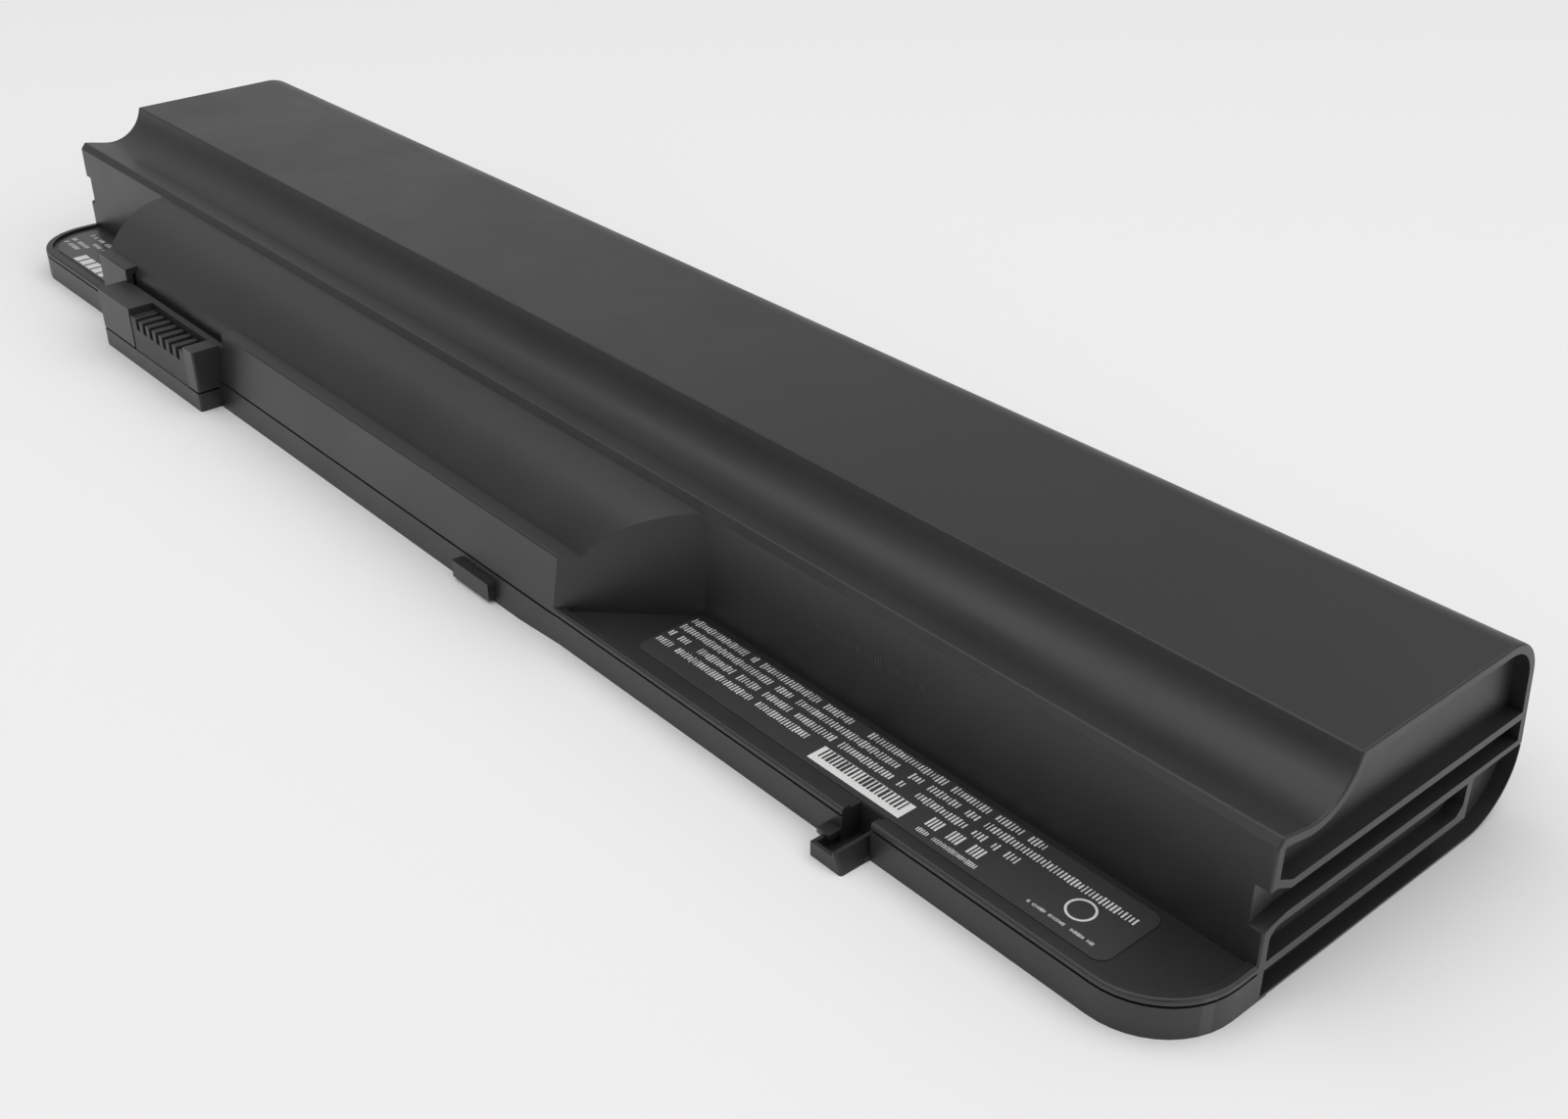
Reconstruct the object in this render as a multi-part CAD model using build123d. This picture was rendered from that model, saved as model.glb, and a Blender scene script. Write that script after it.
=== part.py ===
from build123d import *
import os
from math import pi, radians, tan

# Laptop battery pack: a moulded upper housing and lower cover closed round a row of
# cylindrical cells, with a low flange along the front, a raised bulge over the board and
# its connector, and ribbed guide pockets in both ends.
# Millimetres. While a piece is built, x runs from the left end, y from the front face of
# the flange towards the back, and z from the underside. place() then moves the piece so
# that the origin is under the middle of the whole pack.

# Cells and the room they need
CELL_COUNT = 3
CELL_D = 18.3
CELL_LENGTH = 65.0
CELL_ROOM = 0.15
LINK_GAP = 1.4
BUTTON_R = 4.1
BUTTON_HEIGHT = 0.6
CRIMP_DROP = 2.2
CRIMP_HALF = 0.7
CRIMP_DEPTH = 0.8
END_SPACE = 8.9
BACK_ROOM = 0.95

# Housing walls
WALL = 0.95
END_WALL = 1.2
END_POCKET = 1.5

# Front of the housing
FLANGE_DEPTH = 10.7
FLANGE_TOP = 4.2
FLANGE_CORNER_R = 8.2
RIM_WIDTH = 1.0
FLOOR_DROP = 0.35
CHANNEL_DEPTH = 18.2

# Upper outline
SHELF_DEPTH = 10.1
LIP_DROP = 3.55
LIP_SETBACK = 0.7
LIP_CHAMFER = 0.85
LEDGE_SLOPE = 12.0
COVE_STEEPNESS = 75.0
COVE_R = 5.2
BACK_LEAN = 7.8
TOP_BACK_R = 5.1
LOW_BACK_R = 6.6
EDGE_R = 0.3
END_EDGE_R = 0.25

# Where the two mouldings meet
PARTING_FRONT = 3.3
PARTING_BACK = 7.7
SEAM_HEIGHT = 0.28
SEAM_DEPTH = 0.4

# Bulge over the board
BULGE_START = 28.5
BULGE_LENGTH = 112.3
BULGE_SHOULDER = 10.4
BULGE_LEDGE = 1.8
BULGE_LEDGE_RISE = 0.15
BULGE_TOP_R = 11.2
FOOT_REACH = 1.0
FOOT_TAPER = 6.8

# Ribs in the end pockets
RIB_A = 11.27
RIB_B = 7.95
RIB_C_THICK = 0.9
RIB_THICK = 0.85
RIB_BEND = 1.9
RIB_BEND_RISE = 1.0
NOTCH_FALL = 0.75
POCKET_CORNER_R = 1.2
POST_RIB_BACK = 41.0
POST_RIB_CHAMFER = 0.9
LOW_RIM = 0.4

# Connector
BOSS_START = 36.0
BOSS_LENGTH = 29.0
BOSS_REACH = 3.9
BOSS_PARTING = 2.5
BOSS_TOP = 8.4
BAY_START = 10.0
BAY_RAIL = 0.4
CONTACT_COUNT = 7
CONTACT_PITCH = 2.0
CONTACT_THICK = 0.6
CONTACT_HEIGHT = 0.8
INSERT_MARGIN = 2.2
INSERT_DROP = 0.9
INSERT_GAP = 0.08
SLOT_WIDTH = 1.0
SLOT_DEPTH = 1.6
NECK_MARGIN = 1.0
NECK_RISE = 0.9
NECK_HEIGHT = 2.7
NECK_REACH = 2.2
RAIL_BACK = 0.5
GROOVE_WIDTH = 0.7
GROOVE_DEPTH = 0.9
GROOVE_RISE = 0.7
GROOVE_RUN_ON = 1.2

# Catches on the front of the lower cover
TAB_START = 122.3
TAB_LENGTH = 7.1
TAB_REACH = 1.8
TAB_LOW = 0.4
TAB_HEIGHT = 2.1
HOOK_START = 183.6
HOOK_LENGTH = 4.05
HOOK_REACH = 3.5
HOOK_WALL = 0.4
HOOK_FRONT_HEIGHT = 1.6
HOOK_SIDE_HEIGHT = 2.05
HOOK_DRAFT = 0.8
HOOK_EDGE_R = 0.3
HOOK_WINDOW_DEPTH = 1.7
STEP_LEFT = 0.7
STEP_LENGTH = 1.65
STEP_REACH = 2.1
STEP_LOW = 1.4
STEP_HEIGHT = 0.6

# Inside of the mouldings
SADDLE_THICK = 1.4
SADDLE_HEIGHT = 5.2
SADDLE_INSET = 5.0
SADDLE_FENCE = 1.0
SEAT_GAP = 0.02
BOARD_POST_R = 1.6
BOARD_PIN_R = 0.7
BOARD_PIN_GAP = 0.1
BOARD_PIN_INSET = 4.0

# Protection board and what it carries
BOARD_START = 38.0
BOARD_LENGTH = 90.0
BOARD_FRONT = 2.6
BOARD_DEPTH = 16.4
BOARD_UNDER = 4.2
BOARD_THICK = 1.0
BOARD_CORNER_R = 1.5
# Each chip: from the board's left edge, from its front edge, length, depth, height
CHIPS = {
    "controller_chip": (38.0, 8.0, 10.0, 4.4, 1.6),
    "gauge_chip": (26.0, 8.5, 6.5, 4.4, 1.2),
    "switch_transistor_1": (53.0, 8.0, 5.0, 4.0, 1.5),
    "switch_transistor_2": (62.0, 8.0, 5.0, 4.0, 1.5),
}
FUSE_PLACE = (70.0, 8.0)
FUSE_SIZE = (4.0, 3.0, 1.2)
FUSE_EDGE_R = 0.35
SHUNT_PLACE = (12.0, 10.4)
SHUNT_SIZE = (6.3, 3.2, 0.8)
SHUNT_CHAMFER = 0.3
CAPACITOR_PLACE = (52.0, 2.0)
CAPACITOR_SIZE = (2.0, 1.2, 0.9)
LEAD_WIDTH = 0.4
LEAD_PITCH = 1.27
LEAD_REACH = 1.0
LEAD_THICK = 0.25
CAPACITOR_COUNT = 6
CAPACITOR_PITCH = 4.0

# Strips, wires and insulation
STRIP_THICK = 0.2
STRIP_WIDTH = 5.0
STRIP_LAP = 4.5
STRIP_NOSE = 3.0
MAIN_WIRE_R = 0.8
TAP_WIRE_R = 0.6
SENSOR_WIRE_R = 0.5
ARC_SHARE = 0.45
PAD_INSET = 7.0
PAD_DEPTH = 9.8
CUTOFF_PAD_INSET = 6.0
CUTOFF_PAD_DEPTH = 11.2
TAP_INSET = 5.6
TAP_SHARE = 0.15
SENSOR_LEAD = 16.0
SENSOR_LEAD_LAP = 1.0
# Corners of each lead, as shares of the way from its start to its end along x, y and z
NEGATIVE_SHARES = ((0, -0.18, 0), (0, 0.485, 0), (0.26, 0.85, 0.47), (0.7, 1, 1), (1, 1, 1))
POSITIVE_SHARES = ((0, -0.33, 0), (0, 0.714, 0.113), (0.24, 1, 0.745), (0.68, 1, 1), (1, 1, 1))
CUTOFF_SHARES = ((0, 0, 0), (0.15, 0, 0), (0.407, -0.5, 0), (0.648, 0.167, 0.357), (0.834, 1, 1), (1, 1, 1))
TAP_SHARES = ((0, 0.045, 0), (0, 0.45, 0.225), (0.25, 0.82, 0.663), (0.6, 1, 1), (1, 1, 1))
SENSOR_SHARES = ((0, 0, 0), (0.333, 0.095, 0), (0.5, 0.476, 0.44), (0.694, 0.943, 1), (1, 1, 1))
SENSOR_R = 1.0
SENSOR_LENGTH = 4.0
SENSOR_EDGE_R = 0.8
RING_THICK = 0.25
RING_MARGIN = 0.7
RING_GAP = 0.4
CARD_THICK = 0.3
CARD_CLEAR = 0.8
CARD_END = 3.0
CUTOFF_LENGTH = 12.0
CUTOFF_DEPTH = 5.0
CUTOFF_HEIGHT = 2.5
CUTOFF_EDGE_R = 0.6
CUTOFF_RIB = 1.0
CUTOFF_SETBACK = 21.0

# Label films on the flange floor
LABEL_GAP = 0.4
LABEL_END = 8.5
LABEL_FRONT = 1.8
LABEL_BACK_GAP = 0.8
LABEL_THICK = 0.12
LABEL_CORNER_R = 1.3
LEFT_LABEL_START = 2.4
LEFT_LABEL_R = 5.6

# Sizes that follow from those above
CELL_R = CELL_D / 2
HEIGHT = CELL_D + 2 * (CELL_ROOM + WALL)
ROW_LENGTH = CELL_COUNT * CELL_LENGTH + (CELL_COUNT - 1) * LINK_GAP
ROW_START = END_POCKET + END_WALL + END_SPACE
LENGTH = ROW_LENGTH + 2 * ROW_START
CELL_Y = FLANGE_DEPTH + CHANNEL_DEPTH + CELL_R
CELL_Z = HEIGHT / 2
BACK_Y = CELL_Y + CELL_R + BACK_ROOM + WALL
BACK_TOP_Y = BACK_Y - (HEIGHT - PARTING_BACK) * tan(radians(BACK_LEAN))
TOP_FRONT_Y = FLANGE_DEPTH + SHELF_DEPTH
LIP_Y = FLANGE_DEPTH + LIP_SETBACK
LIP_Z = HEIGHT - LIP_DROP
CREST_Z = LIP_Z - LIP_CHAMFER
FLOOR_Z = FLANGE_TOP - FLOOR_DROP
INNER_START = END_POCKET + END_WALL
INNER_END = LENGTH - INNER_START
MIDDLE_Y = (BACK_Y - BOSS_REACH) / 2
BOARD_TOP = BOARD_UNDER + BOARD_THICK
BOARD_END = BOARD_START + BOARD_LENGTH
BOARD_BACK = BOARD_FRONT + BOARD_DEPTH
SADDLE_FRONT = CELL_Y - CELL_R - SADDLE_FENCE
BULGE_END = BULGE_START + BULGE_LENGTH
RIM_STAND = FOOT_REACH * (1 - FLANGE_TOP / BULGE_SHOULDER)
BOSS_END = BOSS_START + BOSS_LENGTH
FOOT_START = BOSS_START + EDGE_R + WALL
GROOVE_BACK = RAIL_BACK + GROOVE_WIDTH
GROOVE_FLOOR = BOSS_TOP - GROOVE_DEPTH
HOOK_END = HOOK_START + HOOK_LENGTH
INSERT_LENGTH = (CONTACT_COUNT - 1) * CONTACT_PITCH + 2 * INSERT_MARGIN
INSERT_START = BOSS_START + BAY_START
INSERT_TOP = BOSS_TOP - INSERT_DROP
SLOT_FLOOR = INSERT_TOP - SLOT_DEPTH
NECK_LOW = PARTING_FRONT + NECK_RISE
MARGIN = 5.0


def place(shape):
    """Shape moved from the building frame to the frame of the finished pack."""
    return Pos(-LENGTH / 2, -MIDDLE_Y, 0) * shape


def block(x0, x1, y0, y1, z0, z1):
    """Box between two corners."""
    corner = (Align.MIN, Align.MIN, Align.MIN)
    return Pos(x0, y0, z0) * Box(x1 - x0, y1 - y0, z1 - z0, align=corner)


def post(x, y, z0, z1, radius):
    """Cylinder along z."""
    foot = (Align.CENTER, Align.CENTER, Align.MIN)
    return Pos(x, y, z0) * Cylinder(radius, z1 - z0, align=foot)


def rod(x0, x1, y, z, radius):
    """Cylinder along x."""
    return Pos(x0, y, z) * Rot(0, 90, 0) * post(0, 0, 0, x1 - x0, radius)


def outline(*points):
    """Flat face inside a closed run of straight lines."""
    return make_face(Polyline(*points, close=True))


def rectangle(u0, u1, v0, v1):
    """Flat face between two corners."""
    return outline((u0, v0), (u1, v0), (u1, v1), (u0, v1))


def rounded(face, corner, radius):
    """Face with the corner nearest to a point rounded."""
    return fillet(face.vertices().sort_by_distance(Vector(*corner))[0], radius)


def along_x(face, x0, x1):
    """A section in y and z carried from x0 to x1."""
    return Pos(x0, 0, 0) * extrude(Plane.YZ * face, amount=x1 - x0)


def along_y(face, y0, y1):
    """A section in x and z carried from y0 to y1."""
    return Pos(0, y1, 0) * extrude(Plane.XZ * face, amount=y1 - y0)


def along_z(face, z0, z1):
    """A plan in x and y raised from z0 to z1."""
    return Pos(0, 0, z0) * extrude(face, amount=z1 - z0)


def other_end(shape):
    """Shape mirrored to the opposite end of the pack."""
    return mirror(shape, about=Plane.YZ.offset(LENGTH / 2))


def cove_foot():
    """Corner where the steep front of the top would meet the ledge."""
    run = 1 / tan(radians(COVE_STEEPNESS))
    slope = tan(radians(LEDGE_SLOPE))
    y = (TOP_FRONT_Y - run * LIP_DROP + run * slope * LIP_Y) / (1 + run * slope)
    return y, LIP_Z - (y - LIP_Y) * slope


def bay_section():
    """Outer section of the long cell bay."""
    foot = cove_foot()
    face = outline(
        (FLANGE_DEPTH, 0),
        (BACK_Y, 0),
        (BACK_Y, PARTING_BACK),
        (BACK_TOP_Y, HEIGHT),
        (TOP_FRONT_Y, HEIGHT),
        foot,
        (LIP_Y, LIP_Z),
        (FLANGE_DEPTH, CREST_Z),
    )
    corners = (
        ((BACK_Y, 0), LOW_BACK_R),
        ((BACK_TOP_Y, HEIGHT), TOP_BACK_R),
        (foot, COVE_R),
        ((TOP_FRONT_Y, HEIGHT), EDGE_R),
        ((LIP_Y, LIP_Z), EDGE_R),
        ((FLANGE_DEPTH, CREST_Z), EDGE_R),
    )
    for corner, radius in corners:
        face = rounded(face, corner, radius)
    return face


def bay():
    """Outside of the long cell bay, with rounded edges at both ends."""
    body = along_x(bay_section(), 0, LENGTH)
    ends = body.faces().sort_by(Axis.X)
    return fillet(ends[0].edges() + ends[-1].edges(), END_EDGE_R)


def flange_plan():
    """Plan of the flange, a little proud from the boss to the hook, reaching back under the bay."""
    back = FLANGE_DEPTH + 2 * WALL
    face = outline(
        (0, 0),
        (FOOT_START, 0),
        (FOOT_START, -RIM_STAND),
        (HOOK_END, -RIM_STAND),
        (HOOK_END, 0),
        (LENGTH, 0),
        (LENGTH, back),
        (0, back),
    )
    for corner in ((0, 0), (LENGTH, 0)):
        face = rounded(face, corner, min(FLANGE_CORNER_R, FLANGE_DEPTH - EDGE_R))
    return face


def flange():
    """Flange with a rounded rim and a shallow floor inside it."""
    plan = flange_plan()
    floor = offset(plan, amount=-RIM_WIDTH, kind=Kind.INTERSECTION)
    body = along_z(plan, 0, FLANGE_TOP)
    body = fillet(body.faces().sort_by(Axis.Z)[-1].edges(), EDGE_R)
    return body - along_z(floor, FLOOR_Z, FLANGE_TOP)


def bulge_section():
    """Outer section of the bulge, its front leaning back from the foot, reaching into the bay."""
    ledge = (BULGE_LEDGE, BULGE_SHOULDER + BULGE_LEDGE_RISE)
    crest = (FLANGE_DEPTH, CREST_Z)
    front = Polyline((-FOOT_REACH, 0), (0, BULGE_SHOULDER), ledge)
    arc = RadiusArc(ledge, crest, BULGE_TOP_R)
    inner = FLANGE_DEPTH + 3 * WALL
    back = Polyline(crest, (inner, CREST_Z), (inner, 0), (-FOOT_REACH, 0))
    return rounded(make_face(Curve() + [front, arc, back]), (0, BULGE_SHOULDER), EDGE_R)


def bulge_plan():
    """Plan of the bulge: square at the left, slanted back at the right."""
    back = FLANGE_DEPTH + 3 * WALL
    return outline((BULGE_START, 0), (BULGE_END, 0), (BULGE_END + back, back), (BULGE_START, back))


def foot_plan():
    """Plan of the bulge's foot, from the boss to the right end, where it tapers to the flange."""
    return outline(
        (FOOT_START, -FOOT_REACH),
        (BULGE_END - FOOT_TAPER, -FOOT_REACH),
        (BULGE_END, -RIM_STAND),
        (BULGE_END, 0),
        (FOOT_START, 0),
    )


def bulge():
    """Outside of the bulge."""
    return along_x(bulge_section(), 0, LENGTH) & along_z(bulge_plan() + foot_plan(), 0, HEIGHT)


def bulge_inside():
    """Room inside the bulge."""
    section = offset(bulge_section(), amount=-WALL, kind=Kind.INTERSECTION)
    plan = offset(bulge_plan(), amount=-WALL, kind=Kind.INTERSECTION)
    return along_x(section, 0, LENGTH) & along_z(plan, 0, HEIGHT)


def boss(z0, z1):
    """Connector boss on the front, between two heights."""
    plan = rectangle(BOSS_START, BOSS_END, -BOSS_REACH, WALL)
    for corner in ((BOSS_START, -BOSS_REACH), (BOSS_END, -BOSS_REACH)):
        plan = rounded(plan, corner, EDGE_R)
    return along_z(plan, z0, z1)


def low_region():
    """Everything under the parting line, which is lower round the boss."""
    reach = BOSS_REACH + MARGIN
    face = outline(
        (-reach, -MARGIN),
        (BACK_Y + MARGIN, -MARGIN),
        (BACK_Y + MARGIN, PARTING_BACK),
        (POST_RIB_BACK, PARTING_BACK),
        (POST_RIB_BACK, PARTING_FRONT),
        (-reach, PARTING_FRONT),
    )
    drop = block(BOSS_START, BOSS_END, -reach, -FOOT_REACH, BOSS_PARTING, PARTING_FRONT)
    return along_x(face, -MARGIN, LENGTH + MARGIN) - drop


def hollow():
    """Inside of the closed housing, between the end walls."""
    high = along_x(offset(bay_section(), amount=-WALL), INNER_START, INNER_END)
    plan = offset(flange_plan(), amount=-WALL, kind=Kind.INTERSECTION)
    low = along_z(plan, WALL, PARTING_FRONT) & block(INNER_START, INNER_END, 0, BACK_Y, 0, HEIGHT)
    return high + low + bulge_inside()


def upper_pockets():
    """Recesses of the upper housing at the right end, with the ribs left standing."""
    inside = offset(bay_section(), amount=-WALL)
    front = FLANGE_DEPTH
    wall = FLANGE_DEPTH + WALL
    half = RIB_THICK / 2
    bend = wall + RIB_BEND
    notch_low = RIB_B + half - NOTCH_FALL
    top = inside & outline(
        (0, RIB_A + half + RIB_BEND_RISE),
        (wall, RIB_A + half + RIB_BEND_RISE),
        (bend, RIB_A + half),
        (BACK_Y, RIB_A + half),
        (BACK_Y, HEIGHT),
        (0, HEIGHT),
    )
    slot = outline(
        (wall, notch_low + NOTCH_FALL / 2),
        (bend, RIB_B + half),
        (BACK_Y, RIB_B + half),
        (BACK_Y, RIB_A - half),
        (bend, RIB_A - half),
        (wall, RIB_A - half + RIB_BEND_RISE),
    ) & inside
    notch = outline(
        (front - WALL, notch_low),
        (front, notch_low),
        (wall, notch_low + NOTCH_FALL / 2),
        (wall, RIB_A - half + RIB_BEND_RISE),
        (front - WALL, RIB_A - half + RIB_BEND_RISE),
    )
    post_face = POST_RIB_BACK - RIB_THICK
    low = PARTING_FRONT + RIB_C_THICK
    pocket = rectangle(wall, post_face, low, RIB_B - half)
    pocket = rounded(pocket, (wall, RIB_B - half), POCKET_CORNER_R)
    pocket = chamfer(pocket.vertices().sort_by_distance(Vector(post_face, low))[0], POST_RIB_CHAMFER)
    cut = None
    for face in (top, slot, notch, pocket):
        recess = along_x(face, LENGTH - END_POCKET, LENGTH + MARGIN)
        cut = recess if cut is None else cut + recess
    return cut


def low_pocket():
    """Recess of the lower cover at the right end, with a thin rim left round it."""
    inside = offset(bay_section(), amount=-LOW_RIM) & rectangle(FLANGE_DEPTH + WALL, BACK_Y, 0, HEIGHT)
    return along_x(inside, LENGTH - END_POCKET, LENGTH + MARGIN)


def seam():
    """Shadow line round the flange and the boss, just over the parting line."""
    whole = rectangle(-MARGIN, LENGTH + MARGIN, -MARGIN, FLANGE_DEPTH)
    inner = offset(flange_plan(), amount=-SEAM_DEPTH, kind=Kind.INTERSECTION)
    ring = whole - inner - rectangle(BOSS_START, BOSS_END, -MARGIN, WALL)
    front = along_z(ring, PARTING_FRONT, PARTING_FRONT + SEAM_HEIGHT)
    around = rectangle(BOSS_START, BOSS_END, -MARGIN, -FOOT_REACH)
    around = around - rectangle(BOSS_START + SEAM_DEPTH, BOSS_END - SEAM_DEPTH, SEAM_DEPTH - BOSS_REACH, 0)
    return front + along_z(around, BOSS_PARTING, BOSS_PARTING + SEAM_HEIGHT)


def saddles(z0, z1):
    """Cross ribs with round seats for the cells, between two heights."""
    face = offset(bay_section(), amount=-WALL / 2) & rectangle(SADDLE_FRONT, BACK_Y, z0, z1)
    ribs = []
    for index in range(CELL_COUNT):
        start = ROW_START + index * (CELL_LENGTH + LINK_GAP)
        for x in (start + SADDLE_INSET, start + CELL_LENGTH - SADDLE_INSET - SADDLE_THICK):
            ribs.append(along_x(face, x, x + SADDLE_THICK))
    seat = rod(0, LENGTH, CELL_Y, CELL_Z, CELL_R + SEAT_GAP)
    return [rib - seat for rib in ribs]


def post_places():
    """Where the board's four posts stand."""
    xs = (BOARD_START + BOARD_PIN_INSET, BOARD_END - BOARD_PIN_INSET)
    ys = (BOARD_FRONT + BOARD_PIN_INSET, BOARD_BACK - BOARD_PIN_INSET)
    return [(x, y) for x in xs for y in ys]


def connector_bay():
    """Opening in the boss for the insert, with a window through to the board."""
    x0, x1 = INSERT_START, INSERT_START + INSERT_LENGTH
    front = -BOSS_REACH - MARGIN
    bay = block(x0, x1, front, -BAY_RAIL, PARTING_FRONT, BOSS_TOP + MARGIN)
    bay = bay + block(x0, x1, front, -FOOT_REACH, BOSS_PARTING, PARTING_FRONT)
    low, high = NECK_LOW, NECK_LOW + NECK_HEIGHT
    return bay + block(x0 + NECK_MARGIN, x1 - NECK_MARGIN, front, GROOVE_BACK + 2 * WALL, low, high)


def boss_recess():
    """Step over the boss: a rail behind the insert, then a groove under the curve of the bulge."""
    front = -BOSS_REACH - MARGIN
    crease = BULGE_SHOULDER + BULGE_LEDGE_RISE
    face = outline(
        (front, BOSS_TOP),
        (RAIL_BACK, BOSS_TOP),
        (RAIL_BACK, GROOVE_FLOOR),
        (GROOVE_BACK, GROOVE_FLOOR),
        (GROOVE_BACK, BOSS_TOP + GROOVE_RISE),
        (BULGE_LEDGE, crease),
        (front, crease),
    )
    return along_x(face, FOOT_START, BOSS_END + GROOVE_RUN_ON)


def recess_backing():
    """Wall of the bulge behind the step over the boss."""
    back, low = GROOVE_BACK + WALL, GROOVE_FLOOR - WALL
    return block(FOOT_START, BOSS_END + 2 * GROOVE_RUN_ON, 0, back, low, BULGE_SHOULDER) & bulge()


def upper_housing():
    """Upper moulding: bay, flange top, bulge and connector frame."""
    body = bay() + flange() + bulge()
    body = body + boss(0, BOSS_TOP)
    body = body - low_region() - hollow()
    body = body + recess_backing() - boss_recess() - hook_opening(0)
    for rib in saddles(HEIGHT - SADDLE_HEIGHT, HEIGHT):
        body = body + rib
    pockets = upper_pockets()
    return body - pockets - other_end(pockets) - connector_bay() - seam()


def hook_side():
    """Left side of the hook's window, where the step in the front wall ends."""
    return HOOK_START - STEP_LEFT + STEP_LENGTH


def hook_wall(x0, top):
    """Section across the hook in x and z: from x0 to its right side, which leans in as it rises."""
    lean = HOOK_DRAFT / HOOK_SIDE_HEIGHT
    return outline((x0, 0), (HOOK_END, 0), (HOOK_END - lean * top, top), (x0, top))


def hook():
    """Open cup that stands out of the front of the lower cover, with a plate in the wall beside it."""
    x0 = HOOK_START
    y0, y1 = -HOOK_REACH, HOOK_WINDOW_DEPTH
    lean = HOOK_DRAFT / HOOK_SIDE_HEIGHT
    cup = along_y(hook_wall(x0, HOOK_FRONT_HEIGHT), y0, WALL)
    cup = cup + along_y(hook_wall(HOOK_END - HOOK_WALL - HOOK_DRAFT, HOOK_SIDE_HEIGHT), y0, y1)
    middle = HOOK_SIDE_HEIGHT / 2
    corner = cup.edges().sort_by_distance(Vector(HOOK_END - lean * middle, y0, middle))[0]
    cup = fillet(corner, HOOK_EDGE_R)
    room = outline(
        (x0 + HOOK_WALL, HOOK_WALL),
        (HOOK_END - HOOK_WALL - lean * HOOK_WALL, HOOK_WALL),
        (HOOK_END - HOOK_WALL - HOOK_DRAFT, HOOK_SIDE_HEIGHT),
        (x0 + HOOK_WALL, HOOK_SIDE_HEIGHT),
    )
    cup = cup - along_y(room, y0 + HOOK_WALL, y1)
    plate = block(x0 - STEP_LEFT, hook_side(), -STEP_REACH, WALL, STEP_LOW, STEP_LOW + STEP_HEIGHT)
    return cup + plate


def hook_box():
    """Walls round the recess behind the hook."""
    x0, x1 = hook_side() - WALL, HOOK_END + WALL
    return block(x0, x1, 0, HOOK_WINDOW_DEPTH + WALL, 0, PARTING_FRONT)


def hook_opening(low):
    """Recess in the front wall behind the hook, open upwards from a height."""
    return block(hook_side(), HOOK_END, -MARGIN, HOOK_WINDOW_DEPTH, low, HEIGHT)


def tab():
    """Locating tab on the front of the lower cover."""
    return block(TAB_START, TAB_START + TAB_LENGTH, -TAB_REACH, WALL, TAB_LOW, TAB_LOW + TAB_HEIGHT)


def back_step():
    """Shadow line along the back, just under the parting line."""
    low = PARTING_BACK - SEAM_HEIGHT
    return block(-MARGIN, LENGTH + MARGIN, BACK_Y - SEAM_DEPTH, BACK_Y, low, PARTING_BACK)


def lower_cover():
    """Lower moulding: floor, low walls, cell seats, board posts and catches."""
    body = bay() + along_z(flange_plan(), 0, FLANGE_TOP) + bulge()
    body = (body + boss(0, BOSS_TOP)) & low_region()
    body = body - hollow()
    for rib in saddles(0, SADDLE_HEIGHT):
        body = body + rib
    for x, y in post_places():
        body = body + post(x, y, WALL / 2, BOARD_UNDER, BOARD_POST_R)
        body = body + post(x, y, WALL / 2, BOARD_TOP, BOARD_PIN_R)
    y0, y1 = cutoff_front(), cutoff_front() + CUTOFF_DEPTH
    for x in cutoff_ends():
        body = body + block(x, x + WALL, y0, y1, WALL / 2, WALL + CUTOFF_RIB)
    body = body + hook_box() - hook_opening(HOOK_WALL) + hook() + tab()
    pocket = low_pocket()
    return body - pocket - other_end(pocket) - back_step()


def connector_insert():
    """Insulating block with a slot for each contact."""
    x0, x1 = INSERT_START + INSERT_GAP, INSERT_START + INSERT_LENGTH - INSERT_GAP
    y0, y1 = INSERT_GAP - BOSS_REACH, -BAY_RAIL - INSERT_GAP
    body = block(x0, x1, y0, y1, PARTING_FRONT, INSERT_TOP)
    body = body + block(x0, x1, y0, -FOOT_REACH - INSERT_GAP, BOSS_PARTING, PARTING_FRONT)
    low, high = NECK_LOW + INSERT_GAP, NECK_LOW + NECK_HEIGHT - INSERT_GAP
    margin = NECK_MARGIN
    body = body + block(x0 + margin, x1 - margin, -BOSS_REACH + WALL, NECK_REACH, low, high)
    half = SLOT_WIDTH / 2
    y0, y1 = -BOSS_REACH - MARGIN, NECK_REACH + MARGIN
    for x in contact_places():
        body = body - block(x - half, x + half, y0, y1, SLOT_FLOOR, HEIGHT)
    return body


def contact_places():
    """Middle of each contact, along x."""
    return [INSERT_START + INSERT_MARGIN + index * CONTACT_PITCH for index in range(CONTACT_COUNT)]


def contact(x):
    """Blade contact: a flat nose in the insert and a foot on the board."""
    nose = INSERT_GAP + WALL - BOSS_REACH
    drop = NECK_REACH + INSERT_GAP
    foot_end = BOARD_FRONT + 2 * WALL
    top = SLOT_FLOOR + CONTACT_HEIGHT
    face = outline(
        (nose, SLOT_FLOOR),
        (drop, SLOT_FLOOR),
        (drop, BOARD_TOP),
        (foot_end, BOARD_TOP),
        (foot_end, BOARD_TOP + CONTACT_HEIGHT / 2),
        (drop + CONTACT_HEIGHT, BOARD_TOP + CONTACT_HEIGHT / 2),
        (drop + CONTACT_HEIGHT, top),
        (nose, top),
    )
    face = rounded(face, (nose, top), CONTACT_HEIGHT / 2)
    return along_x(face, x - CONTACT_THICK / 2, x + CONTACT_THICK / 2)


def cell_start(index):
    """Left end of a cell."""
    return ROW_START + index * (CELL_LENGTH + LINK_GAP)


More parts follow.
